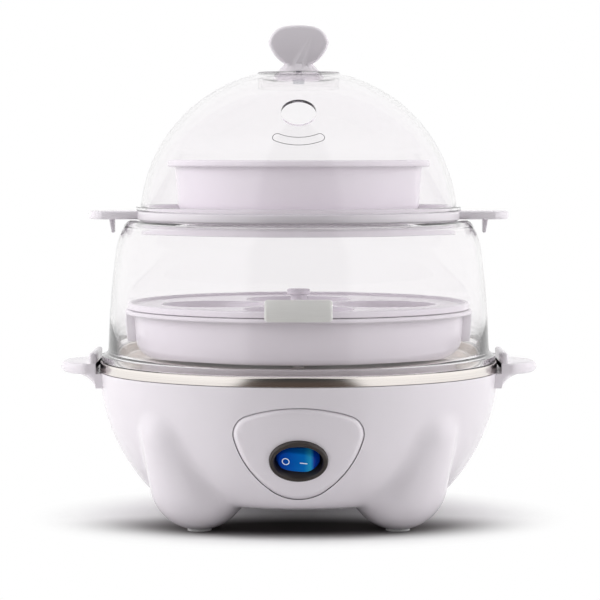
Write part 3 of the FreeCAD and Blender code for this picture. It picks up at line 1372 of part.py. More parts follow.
def knob():
    body = new_body("lid_knob")
    half = [("knob_neck_half", "knob_neck_level", "knob_cheek_bend"),
            ("knob_half", "knob_waist_level", "knob_corner_bend"),
            ("knob_crown_half", "knob_top - knob_crown_drop", "knob_crown_bend"),
            ("-knob_crown_half", "knob_top - knob_crown_drop", "knob_corner_bend"),
            ("-knob_half", "knob_waist_level", "knob_cheek_bend"),
            ("-knob_neck_half", "knob_neck_level"),
            ("-knob_neck_half", "dome_top"), ("knob_neck_half", "dome_top")]
    paddle = closed(new_sketch(body, "knob_outline"), half)
    padded(body, "paddle", paddle, "knob_thickness", midplane=True)
    doc.recompute()
    foot = closed(new_sketch(body, "knob_foot_profile"), [
        ("0", "dome_top"), ("knob_foot", "dome_top"), ("knob_foot", "dome_top + knob_foot_edge"),
        ("knob_neck_half", "knob_neck_level"), ("0", "knob_neck_level")])
    turned(body, "knob_foot_turned", foot)
    doc.recompute()
    pilot = closed(new_sketch(body, "knob_pilot"), [
        ("0", "dome_top"), ("knob_screw_bend", "dome_top"),
        ("knob_screw_bend", "dome_top + knob_screw_grip"), ("0", "dome_top + knob_screw_grip")])
    turned(body, "knob_pilot_cut", pilot, cut=True)
    nodes["lid_knob"] = body
    washer_low = "dome_top - dome_wall - knob_washer_sheet"
    nodes["knob_washer"] = turned_body("knob_washer", [
        ("knob_screw_bend + knob_screw_fit", washer_low), ("knob_washer", washer_low),
        ("knob_washer", "dome_top - dome_wall"),
        ("knob_screw_bend + knob_screw_fit", "dome_top - dome_wall")])
    screws("knob_screw", "0", washer_low, "knob_screw_bend", "knob_screw_head",
           "knob_screw_head_height",
           "knob_washer_sheet + dome_wall + knob_screw_grip", "1")


shield = shield_outline(new_sketch(None, "shield"))

base_shell()
panel()
switch()
bottom()
heater()
electrics()
wires()
clear_ring()
lower_bowls()
upper_tier()
knob()
doc.recompute()

for item in doc.Objects:
    if "Invalid" in item.State or "Error" in item.State:
        raise RuntimeError(f"{item.Name} failed: {item.State}")
os.makedirs("parts", exist_ok=True)
for name, item in nodes.items():
    shape = item.Shape
    if shape.isNull() or not shape.isValid() or not shape.Solids:
        raise RuntimeError(f"{name} has no valid solid")
for name, item in nodes.items():
    item.Shape.exportStep(f"parts/{name}.step")
    print(f"{name}: {len(item.Shape.Solids)} solids, {item.Shape.Volume:.0f} mm3")
print(len(nodes), "nodes")
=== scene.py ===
import bpy
import bmesh
import json
from math import atan2, copysign, cos, degrees, hypot, pi, radians, sin, sqrt
from mathutils import Matrix, Vector
from types import SimpleNamespace


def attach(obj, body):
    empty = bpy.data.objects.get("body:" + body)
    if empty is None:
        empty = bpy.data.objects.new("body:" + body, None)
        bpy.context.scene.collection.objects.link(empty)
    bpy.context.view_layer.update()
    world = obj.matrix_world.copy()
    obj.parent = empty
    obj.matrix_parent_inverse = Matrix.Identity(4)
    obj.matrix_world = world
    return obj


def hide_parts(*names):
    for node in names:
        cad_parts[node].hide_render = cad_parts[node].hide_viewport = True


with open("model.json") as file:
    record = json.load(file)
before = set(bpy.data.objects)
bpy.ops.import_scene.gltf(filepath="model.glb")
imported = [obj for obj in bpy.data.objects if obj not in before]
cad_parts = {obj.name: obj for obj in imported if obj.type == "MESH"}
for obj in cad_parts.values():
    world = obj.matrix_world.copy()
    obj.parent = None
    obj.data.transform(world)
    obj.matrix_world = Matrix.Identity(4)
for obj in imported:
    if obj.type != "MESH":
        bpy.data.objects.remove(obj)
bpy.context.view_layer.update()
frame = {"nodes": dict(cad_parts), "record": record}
mm = 0.001               # outlines are in millimetres, objects in metres
weld = 0.002             # points closer than this become one
print("frame loaded")


# camera, at the photograph's place

view = {"place": (0.0007, -1.300, 0.1893), "pitch": 3.40, "lens": 151.3, "sensor": 36.0}


def linked(name, data):
    thing = bpy.data.objects.new(name, data)
    bpy.context.scene.collection.objects.link(thing)
    return thing


def addCamera():
    data = bpy.data.cameras.new("photoCamera")
    data.lens = view["lens"]
    data.sensor_width = view["sensor"]
    camera = linked("photoCamera", data)
    camera.location = view["place"]
    camera.rotation_euler = (radians(90 - view["pitch"]), 0, 0)
    bpy.context.scene.camera = camera


addCamera()
print("camera placed")


# mesh helpers

def named(settings):
    return SimpleNamespace(**settings)


def arcCentre(start, end, bend):
    chord = end - start
    left = Vector((-chord.y, chord.x)).normalized()
    depth = sqrt(max(bend * bend - chord.length_squared / 4, 0))
    return (start + end) / 2 + left * copysign(depth, bend)


# an outline in the XZ plane; in (x, z, bend, round) the bend is the radius of the arc that
# leads on, positive when its middle lies on the left of the way, and 0 for a straight line
def traced(outline, closed=True, arcStep=0.09):
    bm = bmesh.new()
    last = bm.verts.new((outline[0][0], 0, outline[0][1]))
    legs = len(outline) if closed else len(outline) - 1
    for leg in range(legs):
        here, there = outline[leg], outline[(leg + 1) % len(outline)]
        start, end = Vector(here[:2]), Vector(there[:2])
        if any(here[2:3]):
            centre = arcCentre(start, end, here[2])
            a, b = start - centre, end - centre
            turn = atan2(a.x * b.y - a.y * b.x, a.dot(b))
            steps = max(3, int(abs(turn) / arcStep))
            made = bmesh.ops.spin(bm, geom=[last], cent=(centre.x, 0, centre.y),
                                  axis=(0, -1, 0), dvec=(0, 0, 0), angle=turn, steps=steps)
            last = next(g for g in made["geom_last"] if isinstance(g, bmesh.types.BMVert))
            last.co = (end.x, 0, end.y)
        else:
            new = bm.verts.new((end.x, 0, end.y))
            bm.edges.new((last, new))
            last = new
    if closed:
        bmesh.ops.remove_doubles(bm, verts=bm.verts, dist=weld)
    return bm, last


def softened(bm, geom, bend, segments=3, affect="EDGES"):
    bmesh.ops.bevel(bm, geom=geom, offset=bend, offset_type="OFFSET", segments=segments,
                    profile=0.5, affect=affect, material=-1)
    return bm


# rounds the corners of the outline that give a round
def roundCorners(bm, outline, segments=4):
    for corner in outline:
        if len(corner) == 4:
            spot = Vector((corner[0], 0, corner[1]))
            nearest = min(bm.verts, key=lambda vert: (vert.co - spot).length)
            softened(bm, [nearest], corner[3], segments, "VERTICES")


# turns all there is about the upright axis
def swept(bm, angle, steps, **how):
    bmesh.ops.spin(bm, geom=bm.verts[:] + bm.edges[:] + bm.faces[:], cent=(0, 0, 0),
                   axis=(0, 0, 1), dvec=(0, 0, 0), angle=angle, steps=steps, **how)
    if "use_merge" in how:
        bmesh.ops.remove_doubles(bm, verts=bm.verts, dist=weld)


# an outline spun about the upright axis
def spun(outline, steps=192, arcStep=0.09):
    bm, last = traced(outline, arcStep=arcStep)
    roundCorners(bm, outline)
    swept(bm, 2 * pi, steps, use_merge=True)
    onAxis = [edge for edge in bm.edges if edge.is_wire]
    bmesh.ops.delete(bm, geom=onAxis, context="EDGES")
    bmesh.ops.recalc_face_normals(bm, faces=bm.faces)
    return bm


def filled(outline, arcStep=0.09):
    bm, last = traced(outline, arcStep=arcStep)
    return bm, bmesh.ops.contextual_create(bm, geom=bm.edges[:])["faces"]


def boxShape(low, high, edge):
    bm = bmesh.new()
    bmesh.ops.create_cube(bm, size=1.0)
    bmesh.ops.scale(bm, vec=[b - a for a, b in zip(low, high)], verts=bm.verts)
    softened(bm, bm.edges[:], edge)
    bmesh.ops.translate(bm, vec=[(a + b) / 2 for a, b in zip(low, high)], verts=bm.verts)
    return bm


# an outline's face pushed along Y into a prism
def pushed(bm, face, near, far):
    bmesh.ops.translate(bm, vec=(0, near, 0), verts=bm.verts)
    made = bmesh.ops.extrude_face_region(bm, geom=face)["geom"]
    bmesh.ops.translate(bm, vec=(0, far - near, 0),
                        verts=[g for g in made if isinstance(g, bmesh.types.BMVert)])
    bmesh.ops.recalc_face_normals(bm, faces=bm.faces)
    return bm


# the edges round the two flat sides of such a prism
def sideRims(bm, above=-1e6):
    return [edge for edge in bm.edges if edge.calc_face_angle(0) > 1.2
            and abs(edge.verts[0].co.y - edge.verts[1].co.y) < 0.01
            and max(vert.co.z for vert in edge.verts) > above]


# turns an open skin over unless it looks along the given way
def facing(bm, way):
    bm.normal_update()
    if sum(face.normal.dot(Vector(way)) for face in bm.faces) < 0:
        bmesh.ops.reverse_faces(bm, faces=bm.faces)


# cuts a flat skin across the axis into strips of one width
def sliced(bm, axis, low, pitch, count):
    for step in range(1, count):
        bmesh.ops.bisect_plane(bm, geom=bm.verts[:] + bm.edges[:] + bm.faces[:], dist=0.01,
                               plane_co=Vector(axis) * (low + step * pitch), plane_no=axis)


# insets a face by each width, and notes in a layer how high each step lies
def bordered(bm, face, startLift, border):
    lift = bm.verts.layers.float.new("lift")
    for vert in face.verts:
        vert[lift] = startLift
    for width, height in border:
        bmesh.ops.inset_region(bm, faces=[face], thickness=width, use_even_offset=True,
                               use_boundary=True)
        for vert in face.verts:
            vert[lift] = height
    return lift


# moves a shape to its place and copies it evenly round the upright axis
def repeated(bm, count, place=Matrix.Identity(4)):
    bmesh.ops.transform(bm, matrix=place, verts=bm.verts)
    swept(bm, 2 * pi * (count - 1) / count, count - 1, use_duplicate=True)
    return bm


def loopEdges(verts):
    return list(dict.fromkeys(edge for vert in verts for edge in vert.link_edges))


def ovalPoint(turn, halfLong, halfHigh, squareness):
    c, s = cos(turn), sin(turn)
    return (copysign(abs(c) ** (2 / squareness), c) * halfLong,
            copysign(abs(s) ** (2 / squareness), s) * halfHigh)


# extrudes a loop of edges and gives the new edges and points
def extruded(bm, edges):
    made = bmesh.ops.extrude_edge_only(bm, edges=edges)["geom"]
    fresh = [g for g in made if isinstance(g, bmesh.types.BMVert)]
    known = set(fresh)
    rim = [g for g in made if isinstance(g, bmesh.types.BMEdge) and known.issuperset(g.verts)]
    return rim, fresh


# a tube through rings of (half length, half height, level, squareness), capped at both ends
def lofted(rings, count=96):
    bm = bmesh.new()
    bmesh.ops.create_circle(bm, cap_ends=True, segments=count, radius=1.0)
    turns = bm.verts.layers.float.new("turns")
    for vert in bm.verts:
        vert[turns] = atan2(vert.co.y, vert.co.x)
    edges, moving = bm.edges[:], bm.verts[:]
    for number, (halfLong, halfHigh, level, squareness) in enumerate(rings):
        if number:
            edges, moving = extruded(bm, edges)
        for vert in moving:
            vert.co = Vector((*ovalPoint(vert[turns], halfLong, halfHigh, squareness), level))
    bmesh.ops.contextual_create(bm, geom=edges)
    bmesh.ops.recalc_face_normals(bm, faces=bm.faces)
    return bm


# a round pin along Z
def pin(bend, low, high, count=24):
    return lofted([(bend, bend, low, 2.0), (bend, bend, high, 2.0)], count)


def markSharp(bm, sharp):
    bm.normal_update()
    limit = radians(sharp)
    for face in bm.faces:
        face.smooth = True
    for edge in bm.edges:
        edge.smooth = len(edge.link_faces) != 2 or edge.calc_face_angle(0) < limit


# a millimetre mesh made an object at the origin, in metres
def finished(name, bm, place=None, sharp=38):
    if place is not None:
        bmesh.ops.transform(bm, matrix=place, verts=bm.verts)
    bmesh.ops.scale(bm, vec=(mm, mm, mm), verts=bm.verts)
    markSharp(bm, sharp)
    mesh = bpy.data.meshes.new(name)
    bm.to_mesh(mesh)
    bm.free()
    return linked(name, mesh)


# works the piece's modifiers into its mesh
def applied(piece, sharp=38):
    graph = bpy.context.evaluated_depsgraph_get()
    mesh = bpy.data.meshes.new_from_object(piece.evaluated_get(graph))
    piece.modifiers.clear()
    old, piece.data = piece.data, mesh
    bpy.data.meshes.remove(old)
    bm = bmesh.new()
    bm.from_mesh(mesh)
    markSharp(bm, sharp)
    bm.to_mesh(mesh)
    bm.free()
    return piece


# cuts whole meshes out of the piece, or joins them to it, and throws them away
def worked(piece, tools, operation="DIFFERENCE", sharp=38):
    for tool in tools:
        step = piece.modifiers.new("work", "BOOLEAN")
        step.operation = operation
        step.solver = "EXACT"
        step.object = tool
    applied(piece, sharp)
    for tool in tools:
        mesh = tool.data
        bpy.data.objects.remove(tool)
        bpy.data.meshes.remove(mesh)
    return piece


def walled(piece, thickness, sharp=38):
    wall = piece.modifiers.new("wall", "SOLIDIFY")
    wall.thickness = thickness * mm
    wall.offset = -1.0
    return applied(piece, sharp)


# shader groups

# feeds sockets, each from another node's socket or with a value
def feed(tree, sockets, values):
    for name, value in values.items():
        if isinstance(value, bpy.types.NodeSocket):
            tree.links.new(value, sockets[name])
        else:
            sockets[name].default_value = value


def addNode(tree, kind, inputs=None, **settings):
    made = tree.nodes.new("ShaderNode" + kind)
    for name, value in settings.items():
        setattr(made, name, value)
    feed(tree, made.inputs, inputs or {})
    return made


def mathNode(tree, operation, *values):
    return addNode(tree, "Math", dict(enumerate(values)), operation=operation).outputs[0]


def vectorNode(tree, operation, *values):
    made = addNode(tree, "VectorMath", dict(enumerate(values)), operation=operation)
    return made.outputs["Value" if operation == "LENGTH" else "Vector"]


# mixes two colours, or two numbers
def mixNode(tree, factor, a, b, kind="RGBA"):
    first, out = (6, 2) if kind == "RGBA" else (2, 0)
    return addNode(tree, "Mix", {0: factor, first: a, first + 1: b}, data_type=kind).outputs[out]


def rangeNode(tree, value, low, high, kind="LINEAR"):
    return addNode(tree, "MapRange", {"Value": value, "From Min": low, "From Max": high},
                   interpolation_type=kind).outputs["Result"]


def noiseNode(tree, where, **inputs):
    return addNode(tree, "TexNoise", {"Vector": where, **inputs}).outputs["Fac"]


def objectPlace(tree):
    return addNode(tree, "TexCoord").outputs["Object"]


def newGroup(name, inputs, outputs):
    group = bpy.data.node_groups.new(name, "ShaderNodeTree")
    for label, value in inputs.items():
        kind = "NodeSocketFloat" if isinstance(value, (int, float)) else "NodeSocketColor"
        socket = group.interface.new_socket(label, in_out="INPUT", socket_type=kind)
        socket.default_value = value if kind == "NodeSocketFloat" else (*value, 1)
    for label in outputs:
        kind = "NodeSocketColor" if label == "Colour" else "NodeSocketFloat"
        group.interface.new_socket(label, in_out="OUTPUT", socket_type=kind)
    return (group, group.nodes.new("NodeGroupInput").outputs,
            group.nodes.new("NodeGroupOutput").inputs)


# faint clouds of a moulded plastic, with a fine grain for its gloss and height
def mouldedTone():
    group, given, out = newGroup(
        "mouldedTone", {"Colour": (0.8, 0.8, 0.8), "Tint": (0.7, 0.7, 0.7), "Cloud": 0.3,
                        "Gloss": 0.2, "Grain": 900.0}, ["Colour", "Roughness", "Height"])
    where = objectPlace(group)
    cloud = noiseNode(group, where, Scale=38.0, Detail=3.0, Roughness=0.55)
    fine = noiseNode(group, where, Scale=given["Grain"], Detail=2.0)
    amount = mathNode(group, "MULTIPLY", cloud, given["Cloud"])
    feed(group, out, {"Colour": mixNode(group, amount, given["Colour"], given["Tint"]),
                      "Roughness": mathNode(group, "MULTIPLY_ADD", fine, 0.12, given["Gloss"]),
                      "Height": fine})
    return group


# convex edges, which handling polishes, in patches
def edgeWear():
    group, given, out = newGroup(
        "edgeWear", {"Colour": (0.8, 0.8, 0.8), "Edge": (0.9, 0.9, 0.9), "Amount": 0.3}, ["Colour"])
    bright = rangeNode(group, addNode(group, "NewGeometry").outputs["Pointiness"], 0.51, 0.6)
    patchy = noiseNode(group, objectPlace(group), Scale=120.0, Detail=2.0)
    amount = mathNode(group, "MULTIPLY", mathNode(group, "MULTIPLY", bright, patchy),
                      given["Amount"])
    feed(group, out, {"Colour": mixNode(group, amount, given["Colour"], given["Edge"])})
    return group


# fine lines drawn out along one direction by a brushing belt
def brushedGrain():
    group, given, out = newGroup(
        "brushedGrain", {"Colour": (0.6, 0.6, 0.6), "Line": (0.4, 0.4, 0.4), "Gloss": 0.25,
                         "AcrossX": 30.0, "AcrossY": 30.0, "AcrossZ": 3500.0},
        ["Colour", "Roughness", "Height"])
    stretch = addNode(group, "CombineXYZ", {axis: given["Across" + axis] for axis in "XYZ"})
    drawn = vectorNode(group, "MULTIPLY", objectPlace(group), stretch.outputs[0])
    lines = noiseNode(group, drawn, Scale=1.0, Detail=4.0, Roughness=0.6)
    feed(group, out, {"Colour": mixNode(group, lines, given["Colour"], given["Line"]),
                      "Roughness": mathNode(group, "MULTIPLY_ADD", lines, 0.2, given["Gloss"]),
                      "Height": lines})
    return group


groups = {"tone": mouldedTone(), "wear": edgeWear(), "brushed": brushedGrain()}
print("shader groups made")


# finishes

def startMaterial(name):
    material = bpy.data.materials.new(name)
    material.use_nodes = True
    tree = material.node_tree
    tree.nodes.clear()
    shader = addNode(tree, "BsdfPrincipled")
    out = addNode(tree, "OutputMaterial", {"Surface": shader.outputs[0]})
    return material, tree, shader, out


def placeGroup(tree, group, **values):
    values = {name: (*value, 1) if isinstance(value, tuple) else value
              for name, value in values.items()}
    return addNode(tree, "Group", values, node_tree=groups[group]).outputs


def relief(tree, height, strength, distance=0.0002):
    return addNode(tree, "Bump", {"Height": height, "Strength": strength,
                                  "Distance": distance}).outputs[0]


# colour through the wear group, then gloss and height, into the shader
def dress(tree, shader, tone, edge, wear, bump, distance=0.0002):
    worn = placeGroup(tree, "wear", Colour=tone["Colour"], Edge=edge, Amount=wear)
    feed(tree, shader.inputs, {"Base Color": worn["Colour"], "Roughness": tone["Roughness"],
                               "Normal": relief(tree, tone["Height"], bump, distance)})


def mixShaders(tree, out, factor, a, b):
    mix = addNode(tree, "MixShader", {0: factor, 1: a.outputs[0], 2: b.outputs[0]})
    tree.links.new(mix.outputs[0], out.inputs["Surface"])


def plastic(name, colour, tint, edge, gloss=0.2, cloud=0.3, wear=0.3, grain=900.0, bump=0.05):
    material, tree, shader, out = startMaterial(name)
    tone = placeGroup(tree, "tone", Colour=colour, Tint=tint, Cloud=cloud, Gloss=gloss,
                      Grain=grain)
    dress(tree, shader, tone, edge, wear, bump)
    shader.inputs["IOR"].default_value = 1.49
    return material


def metal(name, colour, line, gloss, across, bump=0.08, metallic=1.0):
    material, tree, shader, out = startMaterial(name)
    drawn = placeGroup(tree, "brushed", Colour=colour, Line=line, Gloss=gloss,
                       AcrossX=across[0], AcrossY=across[1], AcrossZ=across[2])
    dress(tree, shader, drawn, tuple(min(1, part * 1.25) for part in colour), 0.5, bump, 0.0001)
    shader.inputs["Metallic"].default_value = metallic
    return material


# clear moulded plastic; shadow rays pass, so that what stands inside is lit
def clearPlastic(name, colour, tint, shadow):
    material, tree, shader, out = startMaterial(name)
    tone = placeGroup(tree, "tone", Colour=colour, Tint=tint, Cloud=0.35, Gloss=0.0, Grain=260.0)
    feed(tree, shader.inputs, {"Base Color": tone["Colour"], "Roughness": 0.02, "IOR": 1.49,
                               "Transmission Weight": 1.0,
                               "Normal": relief(tree, tone["Height"], 0.02)})
    through = addNode(tree, "BsdfTransparent", {"Color": (*shadow, 1)})
    rays = addNode(tree, "LightPath").outputs
    mixShaders(tree, out, rays["Is Shadow Ray"], shader, through)
    return material


rockerLook = {
    "left": -11.0, "right": 11.0, "glow": 0.22, "deep": (0.0, 0.01, 0.12),
    # ramp stops along the rocker: the inner glow rising towards the ON end, then a painted
    # highlight band at 0.76 and painted shade of the end wall from 0.8 on
    "glowAndPaintedEdgeStops": [(0.12, (0.0, 0.03, 0.26)), (0.35, (0.0, 0.08, 0.34)), (0.62, (0.0, 0.13, 0.38)),
              (0.76, (0.02, 0.3, 0.44)), (0.8, (0.01, 0.16, 0.4)), (0.84, (0.0, 0.015, 0.17))],
}


# a tinted rocker lit from inside, brightest towards its ON end; near that end its colour also
# carries a painted highlight band, and past it painted shade where its end wall lies
def litRocker(name, left, right, glow, deep, glowAndPaintedEdgeStops):
    material, tree, shader, out = startMaterial(name)
    split = addNode(tree, "SeparateXYZ", {0: objectPlace(tree)})
    along = rangeNode(tree, split.outputs["X"], left * mm, right * mm)
    ramp = addNode(tree, "ValToRGB", {"Fac": along})
    points = ramp.color_ramp.elements
    points[0].position, points[0].color = 0.0, (*deep, 1)
    points[1].position, points[1].color = 1.0, (*deep, 1)
    for position, colour in glowAndPaintedEdgeStops:
        points.new(position).color = (*colour, 1)
    tone = placeGroup(tree, "tone", Colour=ramp.outputs["Color"], Tint=(0.0, 0.05, 0.35),
                      Cloud=0.5, Gloss=0.08, Grain=700.0)
    feed(tree, shader.inputs, {"Base Color": tone["Colour"], "Emission Color": tone["Colour"],
                               "Roughness": tone["Roughness"], "Emission Strength": glow,
                               "Specular IOR Level": 0.12})
    return material


looks = {
    "white_plastic": plastic("whitePlastic", (0.815, 0.77, 0.815), (0.77, 0.725, 0.78),
                             (0.93, 0.92, 0.95), gloss=0.14, bump=0.012),
    "clear_plastic": clearPlastic("clearPlastic", (0.972, 0.962, 0.968), (0.955, 0.945, 0.955),
                                  (0.92, 0.91, 0.93)),
    "steel": metal("brushedSteel", (0.95, 0.9, 0.86), (0.76, 0.71, 0.67), 0.09,
                   (18.0, 18.0, 5200.0), bump=0.04),
    "badge_metal": metal("badgeMetal", (0.93, 0.92, 0.9), (0.76, 0.75, 0.73), 0.45,
                         (60.0, 60.0, 6500.0), metallic=0.25),
    "black_plastic": plastic("blackPlastic", (0.028, 0.022, 0.02), (0.045, 0.035, 0.03),
                             (0.16, 0.14, 0.13), gloss=0.32, wear=0.8, grain=1600.0, bump=0.15),
    "blue_plastic": litRocker("bluePlastic", **rockerLook),
    "silicone": plastic("silicone", (0.74, 0.74, 0.74), (0.66, 0.66, 0.68), (0.82, 0.82, 0.82),
                        gloss=0.5, wear=0.2, grain=1400.0, bump=0.12),
    "black_rubber": plastic("blackRubber", (0.02, 0.02, 0.021), (0.04, 0.04, 0.04),
                            (0.09, 0.09, 0.09), gloss=0.5, wear=0.6, grain=1500.0, bump=0.2),
    "cast_aluminium": metal("castAluminium", (0.62, 0.62, 0.64), (0.48, 0.48, 0.5), 0.38,
                            (900.0, 900.0, 900.0), bump=0.3),
    "zinc_steel": metal("zincSteel", (0.62, 0.64, 0.67), (0.5, 0.53, 0.57), 0.28,
                        (420.0, 420.0, 420.0), bump=0.12),
    "brass": metal("brass", (0.78, 0.6, 0.3), (0.62, 0.46, 0.2), 0.25, (500.0, 500.0, 500.0)),
    "lamp_glass": plastic("lampGlass", (0.9, 0.5, 0.3), (0.8, 0.35, 0.2), (1, 0.7, 0.5),
                          gloss=0.05),
    "block_plastic": plastic("blockPlastic", (0.72, 0.7, 0.62), (0.62, 0.6, 0.52),
                             (0.8, 0.78, 0.7), gloss=0.42, bump=0.1),
    "live_wire": plastic("liveWire", (0.22, 0.09, 0.035), (0.16, 0.06, 0.02), (0.3, 0.14, 0.07),
                         gloss=0.4),
    "neutral_wire": plastic("neutralWire", (0.02, 0.1, 0.42), (0.01, 0.06, 0.3),
                            (0.06, 0.2, 0.55), gloss=0.4),
    "ground_wire": plastic("groundWire", (0.22, 0.45, 0.04), (0.6, 0.55, 0.04),
                           (0.5, 0.6, 0.1), gloss=0.4, cloud=0.8),
}
printedInk = plastic("printedInk", (0.03, 0.028, 0.032), (0.06, 0.055, 0.06), (0.1, 0.1, 0.1),
                     gloss=0.35)
markPaint = plastic("markPaint", (0.82, 0.9, 0.95), (0.7, 0.82, 0.95), (0.95, 0.97, 1.0),
                    gloss=0.3)


# the body that the piece rides on, its slot, and the nodes that it stands for
def placed(piece, body, slot, *nodes, material=None):
    piece.data.materials.clear()
    piece.data.materials.append(material or looks[slot])
    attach(piece, body)
    if nodes:
        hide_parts(*nodes)
    return piece


def dressNodes():
    slotOf = {part["node"]: part["material_slot"] for part in frame["record"]["subparts"]}
    for node, cadPiece in frame["nodes"].items():
        materials = cadPiece.data.materials
        for here in range(len(materials)):
            materials[here] = looks[slotOf[node]]
        if not materials:
            materials.append(looks[slotOf[node]])


dressNodes()
print("finishes made")


# base shell: a bowl with four tapered feet blended into it

baseShell = {
    "arcMiddle": (10.0, 79.6), "arcBend": 92.7, "floor": 13.0, "rimTop": 76.0, "wall": 2.6,
    "ledge": 96.6, "floorRound": 5.0, "coverReach": 44.0, "coverStep": 1.4, "coverLedge": 34.0,
    "footLow": (70.0, 25.25, 25.0), "footHigh": (84.0, 50.0, 18.5),   # reach, level, bend
    "footTurns": (45, 135, 225, 315), "footBlend": 3.2, "padSeat": 1.0,
    "spine": (45.0, 60.0), "around": 320, "arcStep": 0.014, "floorSteps": 22,
    "walk": (6.0, 40, 0.9, 0.003),      # start inside, steps, pace, nearness
}


def baseReach(level, grow=0.0):
    across, up = baseShell["arcMiddle"]
    return across + sqrt((baseShell["arcBend"] + grow) ** 2 - (level - up) ** 2)


# signed distance from a point to a tapered capsule between two balls
def capsuleDepth(point, low, lowBend, high, highBend):
    axis = high - low
    length = axis.length_squared
    taper = lowBend - highBend
    side = length - taper * taper
    away = point - low
    along = away.dot(axis)
    beyond = along - length
    across = (away * length - axis * along).length_squared
    turn = abs(taper) * taper * across
    if beyond * abs(beyond) * length * side > turn:
        return sqrt(across + beyond * beyond * length) / length - highBend
    if along * abs(along) * length * side < turn:
        return sqrt(across + along * along * length) / length - lowBend
    return (sqrt(across * side / length) + along * taper) / length - lowBend


def softMin(a, b, blend):
    close = max(blend - abs(a - b), 0.0) / blend
    return min(a, b) - close * close * blend / 4


def footBalls():
    for turn in baseShell["footTurns"]:
        out = Vector((cos(radians(turn)), sin(radians(turn)), 0))
        lowReach, lowLevel, lowBend = baseShell["footLow"]
        highReach, highLevel, highBend = baseShell["footHigh"]
        yield (out * lowReach + Vector((0, 0, lowLevel)), lowBend,
               out * highReach + Vector((0, 0, highLevel)), highBend)


feet = list(footBalls())


def bodyDepth(point):
    across = hypot(point.x, point.y)
    middle = baseShell["arcMiddle"]
    wall = hypot(across - middle[0], point.z - middle[1]) - baseShell["arcBend"]
    bowl = -softMin(-wall, point.z - baseShell["floor"], baseShell["floorRound"])
    quarter = int(degrees(atan2(point.y, point.x)) % 360 // 90)
    return softMin(bowl, capsuleDepth(point, *feet[quarter]), baseShell["footBlend"])


# walks out from the spine until the blended surface is met
def onBody(point):
    across = hypot(point.x, point.y)
    out = Vector((point.x / across, point.y / across, 0))
    start = out * baseShell["spine"][0] + Vector((0, 0, baseShell["spine"][1]))
    way = (point - start).normalized()
    inside, steps, pace, nearness = baseShell["walk"]
    reach = (point - start).length - inside
    for step in range(steps):
        depth = bodyDepth(start + way * reach)
        reach -= depth * pace
        if abs(depth) < nearness:
            break
    return start + way * reach


# carries a ring of edges through (reach, level) places
def carried(bm, edges, places):
    for reach, level in places:
        edges, moving = extruded(bm, edges)
        for vert in moving:
            now = hypot(vert.co.x, vert.co.y)
            vert.co = Vector((vert.co.x * reach / now, vert.co.y * reach / now, level))


def makeBase():
    s = named(baseShell)
    rim, floorEdge = baseReach(s.rimTop), baseReach(s.floor)
    bm, last = traced([(rim, s.rimTop, -s.arcBend), (floorEdge, s.floor)], closed=False,
                      arcStep=s.arcStep)
    for step in range(1, s.floorSteps + 1):
        share = step / s.floorSteps
        new = bm.verts.new((floorEdge + (s.coverReach - floorEdge) * share, 0, s.floor))
        bm.edges.new((last, new))
        last = new
    swept(bm, 2 * pi, s.around, use_merge=True)
    near = 0.01
    for vert in bm.verts:
        atRim = vert.co.z > s.rimTop - near
        atSeat = hypot(vert.co.x, vert.co.y) < s.coverReach + near
        if not atRim and not atSeat:
            vert.co = onBody(vert.co)
            vert.co.z = max(vert.co.z, s.padSeat)      # flat where the pads sit
    bmesh.ops.recalc_face_normals(bm, faces=bm.faces)
    facing(bm, (0, 0, -1))
    rims = [edge for edge in bm.edges if edge.is_boundary]
    carried(bm, [edge for edge in rims if edge.verts[0].co.z > s.rimTop - near],
            [(s.ledge, s.rimTop)])
    carried(bm, [edge for edge in rims if edge.verts[0].co.z < s.floor + near],
            [(s.coverReach, s.floor + s.coverStep),
             (s.coverLedge, s.floor + s.coverStep)])
    return walled(finished("base_shell", bm), s.wall)


handle = {
    "root": 98.0, "foot": 68.4, "fin": 103.2, "finWall": 3.3, "finTop": 86.3, "finLow": 77.0,
    "finTrim": 0.3, "top": 81.0, "lip": 5.4, "noseBend": 2.81, "tip": 122.84, "webBend": 22.0,
    "width": 46.0, "shoulder": 110.0, "endBend": 26.3, "edge": 1.2, "slices": 26, "sink": 0.3,
}


